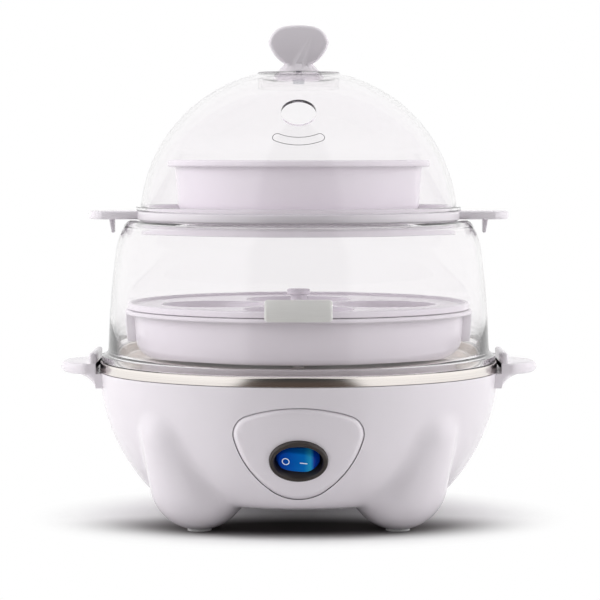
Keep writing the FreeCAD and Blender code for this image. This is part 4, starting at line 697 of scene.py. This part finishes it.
# a lip with a round nose and a hollow underside; the fin beside it guards the dish's rim
def makeHandle(side):
    s = named(handle)
    half, edge, rimTop = s.width / 2, s.edge, baseShell["rimTop"] - s.sink
    nose = s.noseBend - sqrt(s.noseBend ** 2 - s.lip ** 2 / 4)
    bm, cap = filled([
        (s.root, s.foot), (s.fin, s.foot, -s.webBend),
        (s.tip - nose, s.top - s.lip, s.noseBend), (s.tip - nose, s.top),
        (s.fin, s.top), (s.fin, rimTop), (s.root, rimTop)], arcStep=0.12)
    ends = [half - edge * (1 - cos(radians(turn))) for turn in (0, 22.5, 45, 67.5)]
    inner = [(half - edge) * (2 * step / s.slices - 1) for step in range(s.slices + 1)]
    stations = [-place for place in ends] + inner + ends[::-1]
    bmesh.ops.translate(bm, vec=(0, stations[0], 0), verts=bm.verts)
    edges = bm.edges[:]
    for before, after in zip(stations, stations[1:]):
        edges, moving = extruded(bm, edges)
        bmesh.ops.translate(bm, vec=(0, after - before, 0), verts=moving)
    bmesh.ops.contextual_create(bm, geom=edges)
    # the lip is drawn in to the round end of its plan, and thinned at its two ends
    middle = s.shoulder - sqrt(s.endBend ** 2 - half ** 2)
    trim = middle + s.endBend - s.tip
    level = s.top - s.lip / 2
    for vert in bm.verts:
        beyond = vert.co.x - s.fin
        if beyond > 0.01:
            left = edge - max(0.0, min(edge, half - abs(vert.co.y)))
            inset = edge - sqrt(edge ** 2 - left ** 2)
            reach = middle + sqrt(s.endBend ** 2 - vert.co.y ** 2) - trim - inset
            vert.co.x = s.fin + beyond * (reach - s.fin) / (s.tip - s.fin)
            vert.co.z = level + (vert.co.z - level) * (1 - inset / (s.lip / 2))
    bmesh.ops.recalc_face_normals(bm, faces=bm.faces)
    fin = boxShape((s.fin, s.finTrim - half, s.finLow),
                   (s.fin + s.finWall, half - s.finTrim, s.finTop), edge)
    turn = Matrix.Rotation(0 if side > 0 else pi, 4, "Z")
    return finished("handle_lip", bm, turn), finished("handle_fin", fin, turn)


# switch panel: a shield that stands a little proud, with a rounded border

panelShield = {
    "outline": [(25.0, 62.0, -9.56), (31.2, 50.5, -49.0), (14.1, 24.9, -21.4),
                (-14.1, 24.9, -49.0), (-31.2, 50.5, -9.56), (-25.0, 62.0, -78.3)],
    "middle": (0.0, 0.0, 45.0), "edgeLift": -0.8, "seam": 0.28, "wall": 3.2, "grid": 2.6,
    "border": [(0.15, -0.4), (0.7, 0.4), (0.7, 0.95), (0.7, 1.2)],
}


def shieldOutline(grow=0.0):
    bm, last = traced(panelShield["outline"], arcStep=0.05)
    middle = Vector(panelShield["middle"])
    moves = {}
    for vert in bm.verts:
        ends = [edge.other_vert(vert).co for edge in vert.link_edges]
        out = (ends[0] - ends[1]).normalized().cross(Vector((0, 1, 0)))
        moves[vert] = out * copysign(grow, out.dot(vert.co - middle))
    for vert, move in moves.items():
        vert.co += move
    return bm, bmesh.ops.contextual_create(bm, geom=bm.edges[:])["faces"]


def shieldPrism(grow, near=-130.0, far=-70.0):
    return finished("shield_prism", pushed(*shieldOutline(grow), near, far))


switchSeat = {"level": 40.0, "lean": 25.5, "proud": 1.2, "pivotDepth": 6.0, "rest": 11.0}


# local x runs along the panel, y climbs it and z leaves it square
def switchFrame(turn=0.0, sink=0.0):
    lean = radians(switchSeat["lean"])
    out = Vector((0, -cos(lean), -sin(lean)))
    place = Vector((0, -baseReach(switchSeat["level"], switchSeat["proud"]), switchSeat["level"]))
    return (Matrix.Translation(place - out * sink) @ Matrix.Rotation(pi / 2 + lean, 4, "X")
            @ Matrix.Rotation(radians(turn), 4, "Y"))


switchBezel = {
    "half": (14.2, 11.2), "seat": -1.1, "top": 1.3, "mouth": (11.3, 6.1), "mouthLevel": -2.6,
    "mouthSquare": 3.2, "wellFloor": -12.0, "rump": (12.5, 7.3), "rumpEnd": -17.0,
    "rumpSquare": 3.5, "fit": 0.12, "lead": (0.2, 0.5, 0.5, 2.8),
    # over the rim and into the mouth: insets along and across, drop from the top, squareness
    "rim": [(0, 0, 0.7, 2.0), (0.15, 0.15, 0.3, 2.0), (0.5, 0.5, 0, 2.0), (2.0, 2.0, 0, 2.0),
            (2.2, 2.3, 0.2, 2.05)],
}


def bezelHole():
    s = named(switchBezel)
    long, high = (half + s.fit for half in s.half)
    return finished("bezel_hole", lofted([(long, high, -15.0, 2.0), (long, high, 15.0, 2.0)]),
                    switchFrame())


def makePanel():
    s = named(panelShield)
    bm, face = shieldOutline()
    lift = bordered(bm, face[0], s.edgeLift, s.border)
    for axis in (Vector((1, 0, 0)), Vector((0, 0, 1))):
        places = [vert.co.dot(axis) for vert in bm.verts]
        low, high = min(places), max(places)
        sliced(bm, axis, low, s.grid, int((high - low) / s.grid))
    for vert in bm.verts:
        reach = baseReach(vert.co.z, vert[lift])
        vert.co.y = -sqrt(reach * reach - vert.co.x ** 2)
    facing(bm, (0, -1, 0))
    return worked(walled(finished("switch_panel_skin", bm), s.wall), [bezelHole()])


cordInlet = {"level": 36.0, "lean": 28.0, "bend": 6.15, "from": -12.0, "to": 6.0}


def cordFrame():
    s = named(cordInlet)
    return (Matrix.Translation((0, baseReach(s.level), s.level))
            @ Matrix.Rotation(-pi / 2 - radians(s.lean), 4, "X"))


def makeHousing():
    shell = makeBase()
    print("base skinned")
    hole = pin(cordInlet["bend"], cordInlet["from"], cordInlet["to"], 48)
    return worked(shell, [shieldPrism(panelShield["seam"]),
                          finished("cord_hole", hole, cordFrame())])


placed(makeHousing(), "base", "white_plastic", "base_housing")
for side in (1, -1):
    for piece in makeHandle(side):
        placed(piece, "base", "white_plastic")
print("base built")
placed(makePanel(), "base", "white_plastic", "switch_panel")


def makeBezel():
    s = named(switchBezel)
    rings = [(*s.rump, s.rumpEnd, s.rumpSquare), (*s.rump, s.seat, s.rumpSquare),
             (*s.half, s.seat, 2.0)]
    rings += [(s.half[0] - along, s.half[1] - across, s.top - drop, square)
              for along, across, drop, square in s.rim]
    along, across, rise, square = s.lead
    rings += [(s.mouth[0] + along, s.mouth[1] + across, s.mouthLevel + rise, square),
              (*s.mouth, s.mouthLevel, s.mouthSquare), (*s.mouth, s.wellFloor, s.mouthSquare)]
    return finished("switch_bezel", lofted(rings), switchFrame())


rocker = {
    "bend": 10.9, "highTurn": 41.0, "half": 5.5, "hub": (2.6, -2.6, 1.4170, 5.0),
    "topHalf": (7.9, 4.8), "topEdge": (0.2, 0.15, 0.04), "square": 3.0,
    "crown": [(8, 0), (16, 0), (24, 0), (31, 0.05), (36, 0.15), (39, 0.3)],   # turn, inset
}


def makeRocker():
    s = named(rocker)
    top = s.bend * sin(radians(s.highTurn))
    hub, hubLow, hubHigh, hubSquare = s.hub
    rings = [(hub, s.half, hubLow, hubSquare), (hub, s.half, hubHigh, hubSquare)]
    for turn, inset in s.crown:
        angle = radians(turn)
        rings.append((s.bend * cos(angle), s.half - inset, s.bend * sin(angle), s.square))
    along, across, drop = s.topEdge
    rings.append((s.topHalf[0] + along, s.topHalf[1] + across, top - drop, s.square))
    rings.append((*s.topHalf, top, s.square))
    return finished("rocker_cap", lofted(rings), rockerFrame())


def rockerFrame():
    return switchFrame(turn=-switchSeat["rest"], sink=switchSeat["pivotDepth"])


rockerMarks = {"offPlace": -4.9, "offBend": 1.9, "line": 0.45, "onEdge": 0.18, "onPlace": 3.9,
               "onLength": 3.7, "proud": 0.05}


def makeMarks():
    s = named(rockerMarks)
    top = rocker["bend"] * sin(radians(rocker["highTurn"]))
    inner = s.offBend - s.line
    off = spun([(inner, -s.proud), (s.offBend, -s.proud), (s.offBend, s.proud),
                (inner, s.proud)], steps=48)
    on = bmesh.new()
    bmesh.ops.create_cube(on, size=1.0)
    bmesh.ops.scale(on, vec=(s.onLength, s.line, 2 * s.proud), verts=on.verts)
    upright = [edge for edge in on.edges if abs(edge.verts[0].co.z - edge.verts[1].co.z) > 0.01]
    softened(on, upright, s.onEdge)
    for name, bm, place in (("off_mark", off, s.offPlace), ("on_mark", on, s.onPlace)):
        yield finished(name, bm, rockerFrame() @ Matrix.Translation((place, 0, top)))


placed(makeBezel(), "base", "black_plastic", "switch_housing")
placed(makeRocker(), "rocker", "blue_plastic", "switch_rocker")
for mark in makeMarks():
    placed(mark, "rocker", "blue_plastic", material=markPaint)
print("switch built")


# cord grommet: a flange and a ribbed, tapered sleeve

grommet = {"bore": 3.6, "nut": (8.0, -7.6, -3.0), "neck": 6.0, "flange": (9.0, 0.4, 2.4),
           "tail": (4.85, 10.0), "ribs": 3, "ribDepth": 0.55, "ribSlope": 0.05}


def makeGrommet():
    s = named(grommet)
    (nutReach, nutLow, nutHigh), (flangeReach, flangeLow, flangeHigh) = s.nut, s.flange
    tailReach, tailEnd = s.tail
    outline = [(s.bore, nutLow), (nutReach, nutLow), (nutReach, nutHigh), (s.neck, nutHigh),
               (s.neck, flangeLow), (flangeReach, flangeLow, 0, 0.5),
               (flangeReach, flangeHigh, 0, 0.7)]
    steps = 2 * s.ribs + 1
    pitch = (tailEnd - flangeHigh) / steps
    for rib in range(steps + 1):
        level = flangeHigh + rib * pitch
        reach = s.neck + (tailReach - s.neck) * rib / steps
        outline.append((reach, level))
        if rib % 2 and rib < steps:
            sunk = reach - s.ribDepth
            outline += [(sunk, level + s.ribSlope), (sunk, level + pitch - s.ribSlope)]
    outline.append((s.bore, tailEnd))
    return finished("grommet_sleeve", spun(outline, steps=72), cordFrame())


placed(makeGrommet(), "base", "black_rubber", "cord_grommet")


# heating dish: a thin drawn steel dish with a rolled rim

dish = {"rim": 102.3, "top": 81.0, "hang": 76.2, "well": 95.2, "floor": 72.0, "sheet": 0.8}


def makeDish():
    s = named(dish)
    under, wallOut, hem = s.top - s.sheet, s.well + s.sheet, s.rim - s.sheet
    return finished("steel_dish", spun([
        (0, s.floor - s.sheet), (wallOut, s.floor - s.sheet, 0, 2.6), (wallOut, under),
        (hem, under), (hem, s.hang), (s.rim, s.hang, 0, 0.3), (s.rim, s.top, 0, 1.0),
        (s.well, s.top, 0, 1.2), (s.well, s.floor, 0, 2.0), (0, s.floor)], steps=256))


placed(makeDish(), "base", "steel", "heating_plate")
print("heating dish built")


# clear ring

ring = {
    "foot": (101.5, 81.3), "footTop": 84.4, "flareBend": 4.16, "side": (98.07, 87.0),
    "sideBend": 460.9, "shoulder": (93.93, 138.8), "shoulderBend": 34.0, "brow": (89.9, 150.4),
    "browBend": 4.6, "crown": 86.6, "top": 153.4, "neck": 81.6, "neckDepth": 3.8, "wall": 2.1,
}


def makeRing():
    s = named(ring)
    (footReach, footLevel), wall, under = s.foot, s.wall, s.top - s.neckDepth
    sideIn = s.side[0] - wall
    return finished("ring_wall", spun([
        (s.neck, under), (s.neck + wall, under), (s.neck + wall, s.top - wall),
        (s.crown, s.top - wall, wall - s.browBend),
        (s.brow[0] - wall, s.brow[1] - wall / 2, wall - s.shoulderBend),
        (s.shoulder[0] - wall, s.shoulder[1], wall - s.sideBend), (sideIn, s.side[1]),
        (sideIn, footLevel), (footReach, footLevel, 0, 0.4),
        (footReach, s.footTop, -s.flareBend), (*s.side, s.sideBend),
        (*s.shoulder, s.shoulderBend), (*s.brow, s.browBend), (s.crown, s.top),
        (s.neck, s.top, 0, 0.5)], steps=288, arcStep=0.04), sharp=30)


badge = {"width": 32.8, "height": 10.7, "level": 112.5, "corner": 1.6, "sheet": 0.25,
         "edgeLift": 0.25, "border": [(0.12, 0.48), (0.2, 0.6)], "grid": 1.6}


# outside of the ring's wall at a level
def ringReach(level, grow=0.0):
    start, end = Vector(ring["side"]), Vector(ring["shoulder"])
    centre = arcCentre(start, end, ring["sideBend"])
    return centre.x + sqrt((ring["sideBend"] + grow) ** 2 - (level - centre.y) ** 2)


def makeBadge():
    s = named(badge)
    halfWide, halfHigh = s.width / 2, s.height / 2
    low, high = s.level - halfHigh, s.level + halfHigh
    corners = [(x, z, 0, s.corner) for x, z in ((-halfWide, low), (halfWide, low),
                                                (halfWide, high), (-halfWide, high))]
    bm, last = traced(corners)
    roundCorners(bm, corners, segments=6)
    face = bmesh.ops.contextual_create(bm, geom=bm.edges[:])["faces"][0]
    lift = bordered(bm, face, s.edgeLift, s.border)
    strips = int(s.width / s.grid)
    sliced(bm, (1, 0, 0), -halfWide, s.width / strips, strips)
    for vert in bm.verts:
        reach = ringReach(vert.co.z, vert[lift])
        vert.co = Vector((reach * sin(vert.co.x / reach),
                          -reach * cos(vert.co.x / reach), vert.co.z))
    facing(bm, (0, -1, 0))
    return walled(finished("front_plate", bm), s.sheet)


placed(makeRing(), "ring", "clear_plastic", "clear_ring")
placed(makeBadge(), "ring", "badge_metal", "badge_plate")
print("clear ring built")


# lower bowl and poaching tray

lowerBowl = {"bend": 84.4, "floor": 78.0, "corner": 9.4, "wall": 2.0, "flange": 89.4,
             "flangeLow": 105.8, "flangeTop": 107.9, "lugHalf": 7.0, "lugReach": 4.6,
             "lugEdge": 0.8, "nubCircle": 66.0, "nubBend": 3.0, "nubLow": 72.3}


def makeLowerBowl():
    s = named(lowerBowl)
    bend, wall, corner, floor = s.bend, s.wall, s.corner, s.floor
    bowl = finished("bowl_tub", spun([
        (0, floor), (bend - corner, floor, corner), (bend, floor + corner), (bend, s.flangeLow),
        (s.flange, s.flangeLow, 0, 0.6), (s.flange, s.flangeTop, 0, 0.8),
        (bend - wall, s.flangeTop, 0, 0.6), (bend - wall, floor + corner, wall - corner),
        (bend - corner, floor + wall), (0, floor + wall)], steps=224))
    lug = boxShape((bend - wall / 2, -s.lugHalf, floor + corner),
                   (bend + s.lugReach, s.lugHalf, s.flangeLow + 0.5), s.lugEdge)
    nub = spun([(0, s.nubLow), (s.nubBend, s.nubLow, 0, 1.0), (s.nubBend, floor + 1),
                (0, floor + 1)], steps=32)
    nubs = repeated(nub, 4, Matrix.Translation((s.nubCircle, 0, 0)))
    return worked(bowl, [finished("lugs", repeated(lug, 2)), finished("nubs", nubs)], "UNION")


tray = {"bend": 87.9, "seat": 108.2, "web": 1.8, "lipHeight": 3.3, "lipWidth": 2.0,
        "cupCircle": 43.0, "cupMouth": 28.0, "cupDepth": 18.5, "cupWall": 1.6,
        "liftNeck": 4.0, "liftCap": 6.0, "liftHeight": 8.0, "capThickness": 3.0}


# a bowl-shaped plug whose flat side lies at a level
def plug(mouth, depth, level, rise=0.0):
    bend = (mouth * mouth + depth * depth) / (2 * depth)
    outline = [(0, level - depth, bend), (mouth, level)]
    outline += [(mouth, level + rise), (0, level + rise)] if rise else [(0, level)]
    return spun(outline, steps=72, arcStep=0.07)


def makeTray():
    s = named(tray)
    top, lipTop, lipIn = s.seat + s.web, s.seat + s.lipHeight, s.bend - s.lipWidth
    disc = finished("tray_disc", spun([
        (0, s.seat), (s.bend, s.seat, 0, 0.6), (s.bend, lipTop, 0, 0.9), (lipIn, lipTop, 0, 0.7),
        (lipIn, top, 0, 0.6), (0, top)], steps=224))
    out = Matrix.Translation((s.cupCircle, 0, 0))
    cup = plug(s.cupMouth + s.cupWall, s.cupDepth + s.cupWall, top - 0.05)
    hollow = plug(s.cupMouth, s.cupDepth, top, rise=1.0)
    worked(disc, [finished("cups", repeated(cup, 4, out))], "UNION")
    worked(disc, [finished("hollows", repeated(hollow, 4, out))])
    root, capTop = top - 0.9, top + s.liftHeight
    capLow = capTop - s.capThickness
    lifter = spun([(0, root), (s.liftNeck, root), (s.liftNeck, capLow),
                   (s.liftCap, capLow, 0, 0.6), (s.liftCap, capTop, 0, 1.0), (0, capTop)], steps=64)
    return worked(disc, [finished("lifter", lifter)], "UNION")


placed(makeLowerBowl(), "bowl", "white_plastic", "lower_bowl")
placed(makeTray(), "tray", "white_plastic", "poaching_tray")
print("lower tier built")


# upper tray with its tabs, prongs and steam holes

deck = {"floorLow": 152.7, "floorTop": 154.7, "skirt": 80.8, "skirtWall": 1.6, "skirtEnd": 147.0,
        "seat": 153.7, "bend": 83.1, "rimTop": 158.2, "curb": 78.4, "curbWall": 1.6,
        "curbTop": 160.2, "tabTip": 108.1, "tabHalf": 12.0, "tabEndBend": 13.0, "tabLow": 154.0,
        "tabRoot": 80.0, "prong": [(94.8, 154.3), (94.8, 147.0), (96.2, 147.0), (97.4, 154.3)],
        "prongHalf": 4.0, "prongEdge": 0.35, "tabEdge": 1.0, "steamCircle": 71.0,
        "steamBend": 3.0, "steamCount": 12}


def makeTabs():
    s = named(deck)
    shoulder = s.tabTip - s.tabEndBend + sqrt(s.tabEndBend ** 2 - s.tabHalf ** 2)
    bm, face = filled([(s.tabRoot, -s.tabHalf), (shoulder, -s.tabHalf, s.tabEndBend),
                       (shoulder, s.tabHalf), (s.tabRoot, s.tabHalf)], arcStep=0.1)
    pushed(bm, face, 0, s.rimTop - s.tabLow)
    softened(bm, sideRims(bm), s.tabEdge)
    lay = Matrix.Translation((0, 0, s.rimTop)) @ Matrix.Rotation(-pi / 2, 4, "X")
    return finished("tabs", repeated(bm, 2, lay))


def makeProngs():
    s = named(deck)
    bm, face = filled(s.prong)
    pushed(bm, face, -s.prongHalf, s.prongHalf)
    softened(bm, bm.edges[:], s.prongEdge, segments=2)
    return finished("prongs", repeated(bm, 2))


def makeDeck():
    s = named(deck)
    skirtIn, curbIn = s.skirt - s.skirtWall, s.curb - s.curbWall
    body = finished("deck_disc", spun([
        (0, s.floorLow), (skirtIn, s.floorLow), (skirtIn, s.skirtEnd),
        (s.skirt, s.skirtEnd, 0, 0.5), (s.skirt, s.seat), (s.bend, s.seat, 0, 0.8),
        (s.bend, s.rimTop, 0, 1.0), (s.curb, s.rimTop), (s.curb, s.curbTop, 0, 0.6),
        (curbIn, s.curbTop, 0, 0.5), (curbIn, s.floorTop), (0, s.floorTop)], steps=224))
    worked(body, [makeTabs(), makeProngs()], "UNION")
    holes = repeated(pin(s.steamBend, s.floorLow - 2, s.floorTop + 2), s.steamCount,
                     Matrix.Translation((s.steamCircle, 0, 0)))
    return worked(body, [finished("steam_holes", holes)])


upperBowl = {"stand": 155.0, "foot": 62.0, "corner": 6.0, "waist": 63.5, "rim": 67.5,
             "rimLow": 180.8, "rimTop": 184.1, "wall": 2.0}


def makeUpperBowl():
    s = named(upperBowl)
    foot, corner, wall, stand = s.foot, s.corner, s.wall, s.stand
    return finished("bowl_top", spun([
        (0, stand), (foot - corner, stand, corner), (foot, stand + corner), (s.waist, s.rimLow),
        (s.rim, s.rimLow, 0, 0.9), (s.rim, s.rimTop, 0, 1.0), (s.waist - wall, s.rimTop, 0, 0.8),
        (foot - wall, stand + corner, wall - corner), (foot - corner, stand + wall),
        (0, stand + wall)]))


placed(makeDeck(), "deck", "white_plastic", "upper_tray")
placed(makeUpperBowl(), "top_bowl", "white_plastic", "upper_bowl")
print("upper tier built")


# clear dome with its vent

dome = {"foot": 83.6, "seat": 158.5, "footTop": 160.5, "arcMiddle": (4.25, 153.0), "arcBend": 77.4,
        "wall": 2.2, "crown": 21.0, "top": 229.2, "ribWall": 2.0, "ribEnd": 221.2, "bore": 1.8,
        "ventReach": 58.4, "ventLean": 33.0, "ventBend": 8.7}


def domeLevel(reach, inset=0.0):
    across, up = dome["arcMiddle"]
    return up + sqrt((dome["arcBend"] - inset) ** 2 - (reach - across) ** 2)


def domeReach(level, inset=0.0):
    across, up = dome["arcMiddle"]
    return across + sqrt((dome["arcBend"] - inset) ** 2 - (level - up) ** 2)


def makeDome():
    s = named(dome)
    under, ribIn, footIn = s.top - s.wall, s.crown - s.ribWall, domeReach(s.footTop, s.wall)
    glass = finished("dome_wall", spun([
        (s.bore, under), (ribIn, under), (ribIn, s.ribEnd), (s.crown, s.ribEnd),
        (s.crown, domeLevel(s.crown, s.wall), s.wall - s.arcBend), (footIn, s.footTop),
        (footIn, s.seat), (s.foot, s.seat, 0, 0.4), (s.foot, s.footTop, 0, 0.5),
        (domeReach(s.footTop), s.footTop, s.arcBend), (s.crown, domeLevel(s.crown)),
        (s.crown, s.top, 0, 0.25), (s.bore, s.top)], steps=256, arcStep=0.03), sharp=30)
    place = (Matrix.Translation((0, -s.ventReach, domeLevel(s.ventReach)))
             @ Matrix.Rotation(radians(90 - s.ventLean), 4, "X"))
    vent = finished("vent_cut", pin(s.ventBend, -s.ventBend, s.ventBend, 96), place)
    return worked(glass, [vent], sharp=30)


capsuleMark = {"level": 193.7, "width": 26.8, "height": 4.7, "line": 0.3, "proud": 0.03,
               "sagBend": 27.0, "strips": 24, "ink": 0.02}


# a bare capsule printed on the front of the dome, laid along its surface
def makeCapsule():
    s = named(capsuleMark)
    bm = bmesh.new()
    loops = []
    for shrink in (0.0, s.line):
        half, long = s.height / 2 - shrink, s.width / 2 - s.height / 2
        made = bmesh.ops.create_circle(bm, cap_ends=False, segments=96, radius=half)
        for vert in made["verts"]:
            vert.co.x += copysign(long, vert.co.x)
        loops += loopEdges(made["verts"])
    bmesh.ops.bridge_loops(bm, edges=loops)
    sliced(bm, (1, 0, 0), -s.width / 2, s.width / s.strips, s.strips)
    reach = domeReach(s.level)
    across, up = dome["arcMiddle"]
    start = atan2(s.level - up, reach - across)
    bend = dome["arcBend"] + s.proud
    for vert in bm.verts:
        swing, hang = vert.co.x / s.sagBend, s.sagBend - vert.co.y
        turn = hang * sin(swing) / reach
        climb = start + (s.sagBend - hang * cos(swing)) / dome["arcBend"]
        out = across + bend * cos(climb)
        vert.co = Vector((out * sin(turn), -out * cos(turn),
                          up + bend * sin(climb)))
    facing(bm, (0, -1, 0))
    return walled(finished("dome_capsule", bm), s.ink)


# lid knob: a flat paddle with rounded edges on a round foot

knob = {"top": 253.1, "crownHalf": 6.5, "crownDrop": 0.5, "crownBend": 42.5, "half": 15.4,
        "waist": 244.0, "corner": 10.2, "cheek": 17.0, "neckHalf": 6.4, "neck": 233.2,
        "thickness": 14.0, "edge": 1.9, "foot": 10.5, "footEdge": 0.8, "footDraw": 0.2,
        "footFlare": 0.8, "pilot": (1.6, -1.0, 12.0)}      # bend, and levels from the seat


def makeKnob():
    s = named(knob)
    seat, shoulder = dome["top"], s.top - s.crownDrop
    bm, face = filled([
        (s.neckHalf, s.neck, s.cheek), (s.half, s.waist, s.corner),
        (s.crownHalf, shoulder, s.crownBend), (-s.crownHalf, shoulder, s.corner),
        (-s.half, s.waist, s.cheek), (-s.neckHalf, s.neck), (-s.neckHalf, seat),
        (s.neckHalf, seat)], arcStep=0.06)
    pushed(bm, face, -s.thickness / 2, s.thickness / 2)
    softened(bm, sideRims(bm, seat + 0.01), s.edge, segments=5)
    paddle = finished("knob_grip", bm, sharp=50)
    footTop = s.neck + s.footDraw
    foot = spun([(0, seat), (s.foot, seat), (s.foot, seat + s.footEdge, 0, 0.5),
                 (s.neckHalf + s.footFlare, footTop), (0, footTop)], steps=96)
    worked(paddle, [finished("foot", foot)], "UNION", sharp=50)
    bend, low, high = s.pilot
    return worked(paddle, [finished("pilot", pin(bend, seat + low, seat + high))], sharp=50)


placed(makeDome(), "dome", "clear_plastic", "dome_lid")
placed(makeCapsule(), "dome", "clear_plastic", material=printedInk)
placed(makeKnob(), "dome", "white_plastic", "lid_knob")
print("dome and knob built")


# floor, lamps and world

# shade, shadeFade, shadeMiddle and shadeSqueeze give a painted shadow: a dark oval in the floor's
# colour under the front of the object
stage = {"half": 6.0, "colour": (0.93, 0.93, 0.93), "fade": (0.07, 0.12), "squeeze": (0.84, 1, 1),
         "shade": (0.1, 0.09, 0.09), "shadeFade": (0.012, 0.05), "shadeMiddle": (0, 0.04, 0),
         "shadeSqueeze": (0.322, 1, 1), "mirrored": (0.09, 0.07, 0.06), "wedge": (0.82, 0.9)}
lamps = {       # place, size, watts
    "leftLamp": ((-1.25, 0.0, 0.5), 0.9, 12.5),
    "rightLamp": ((1.25, 0.05, 0.5), 0.9, 11.0),
    "topLamp": ((0.0, 0.0, 1.35), 1.1, 5.2),
    "frontLamp": ((0.0, -1.9, 0.75), 0.9, 2.9),
}
lampTarget = Vector((0, 0, 0.12))
worldLook = {"fill": 0.25, "glossyFront": 0.05, "glossySide": 1.1}


# how far the floor's point lies from an oval, from 0 inside to 1 outside
def ovalFade(tree, where, middle, squeeze, reach):
    squeezed = vectorNode(tree, "MULTIPLY", vectorNode(tree, "ADD", where, middle), squeeze)
    return rangeNode(tree, vectorNode(tree, "LENGTH", squeezed), *reach, "SMOOTHSTEP")


# rays that the camera sends out, straight or through the clear pieces
def seenRays(tree, rays):
    through = mathNode(tree, "MINIMUM", rays["Transmission Depth"], 1)
    return mathNode(tree, "MAXIMUM", rays["Is Camera Ray"],
                    mathNode(tree, "MAXIMUM", rays["Is Transmission Ray"], through))


# 1 where a direction or place lies on the camera's side, whatever its height
def frontWedge(tree, where):
    way = vectorNode(tree, "NORMALIZE", vectorNode(tree, "MULTIPLY", where, (1, 1, 0)))
    split = addNode(tree, "SeparateXYZ", {0: way})
    start, end = stage["wedge"]
    return rangeNode(tree, split.outputs["Y"], -start, -end, "SMOOTHSTEP")


# white to the camera away from the object; in mirrors it is dark on the camera's side; near the
# object its colour carries a painted shadow
def addFloor():
    s = named(stage)
    bm = bmesh.new()
    bmesh.ops.create_grid(bm, x_segments=2, y_segments=2, size=s.half / mm)
    floor = finished("floor", bm)
    material, tree, shader, out = startMaterial("paleFloor")
    where = objectPlace(tree)
    # painted shadow: the floor's colour turns dark in an oval under the front of the object, on top
    # of the shadow that the lamps cast
    shade = ovalFade(tree, where, s.shadeMiddle, s.shadeSqueeze, s.shadeFade)
    feed(tree, shader.inputs, {
        "Roughness": 1.0, "Specular IOR Level": 0.0,
        "Base Color": mixNode(tree, shade, (*s.shade, 1), (*s.colour, 1))})
    rays = addNode(tree, "LightPath").outputs
    seen = seenRays(tree, rays)
    dark = mathNode(tree, "MULTIPLY", frontWedge(tree, where), mathNode(tree, "SUBTRACT", 1, seen))
    white = addNode(tree, "Emission", {
        "Strength": 1.0, "Color": mixNode(tree, dark, (1, 1, 1, 1), (*s.mirrored, 1))})
    fade = ovalFade(tree, where, (0, 0, 0), s.squeeze, s.fade)
    shown = mathNode(tree, "MAXIMUM", seen, rays["Is Glossy Ray"])
    mixShaders(tree, out, mathNode(tree, "MULTIPLY", fade, shown), shader, white)
    floor.data.materials.append(material)


def addLamps():
    for name, (place, size, watts) in lamps.items():
        data = bpy.data.lights.new(name, "AREA")
        data.size = size
        data.energy = watts
        lamp = linked(name, data)
        lamp.location = place
        lamp.rotation_euler = (lampTarget - Vector(place)).to_track_quat("-Z", "Y").to_euler()
        lamp.visible_camera = False
        lamp.visible_transmission = False
        lamp.visible_glossy = False


# white to the camera, through glass and in reflections, but dim behind the camera's side
def addWorld():
    s = named(worldLook)
    world = bpy.data.worlds.new("studio")
    bpy.context.scene.world = world
    world.use_nodes = True
    tree = world.node_tree
    tree.nodes.clear()
    wedge = frontWedge(tree, addNode(tree, "TexCoord").outputs["Generated"])
    front = mixNode(tree, wedge, s.glossySide, s.glossyFront, "FLOAT")
    rays = addNode(tree, "LightPath").outputs
    glossy = mixNode(tree, rays["Is Glossy Ray"], s.fill, front, "FLOAT")
    level = mixNode(tree, seenRays(tree, rays), glossy, 1.0, "FLOAT")
    sky = addNode(tree, "Background", {"Color": (1, 1, 1, 1), "Strength": level})
    addNode(tree, "OutputWorld", {"Surface": sky.outputs[0]})


addFloor()
addLamps()
addWorld()
bpy.context.scene.view_settings.view_transform = "Standard"
print("stage set")
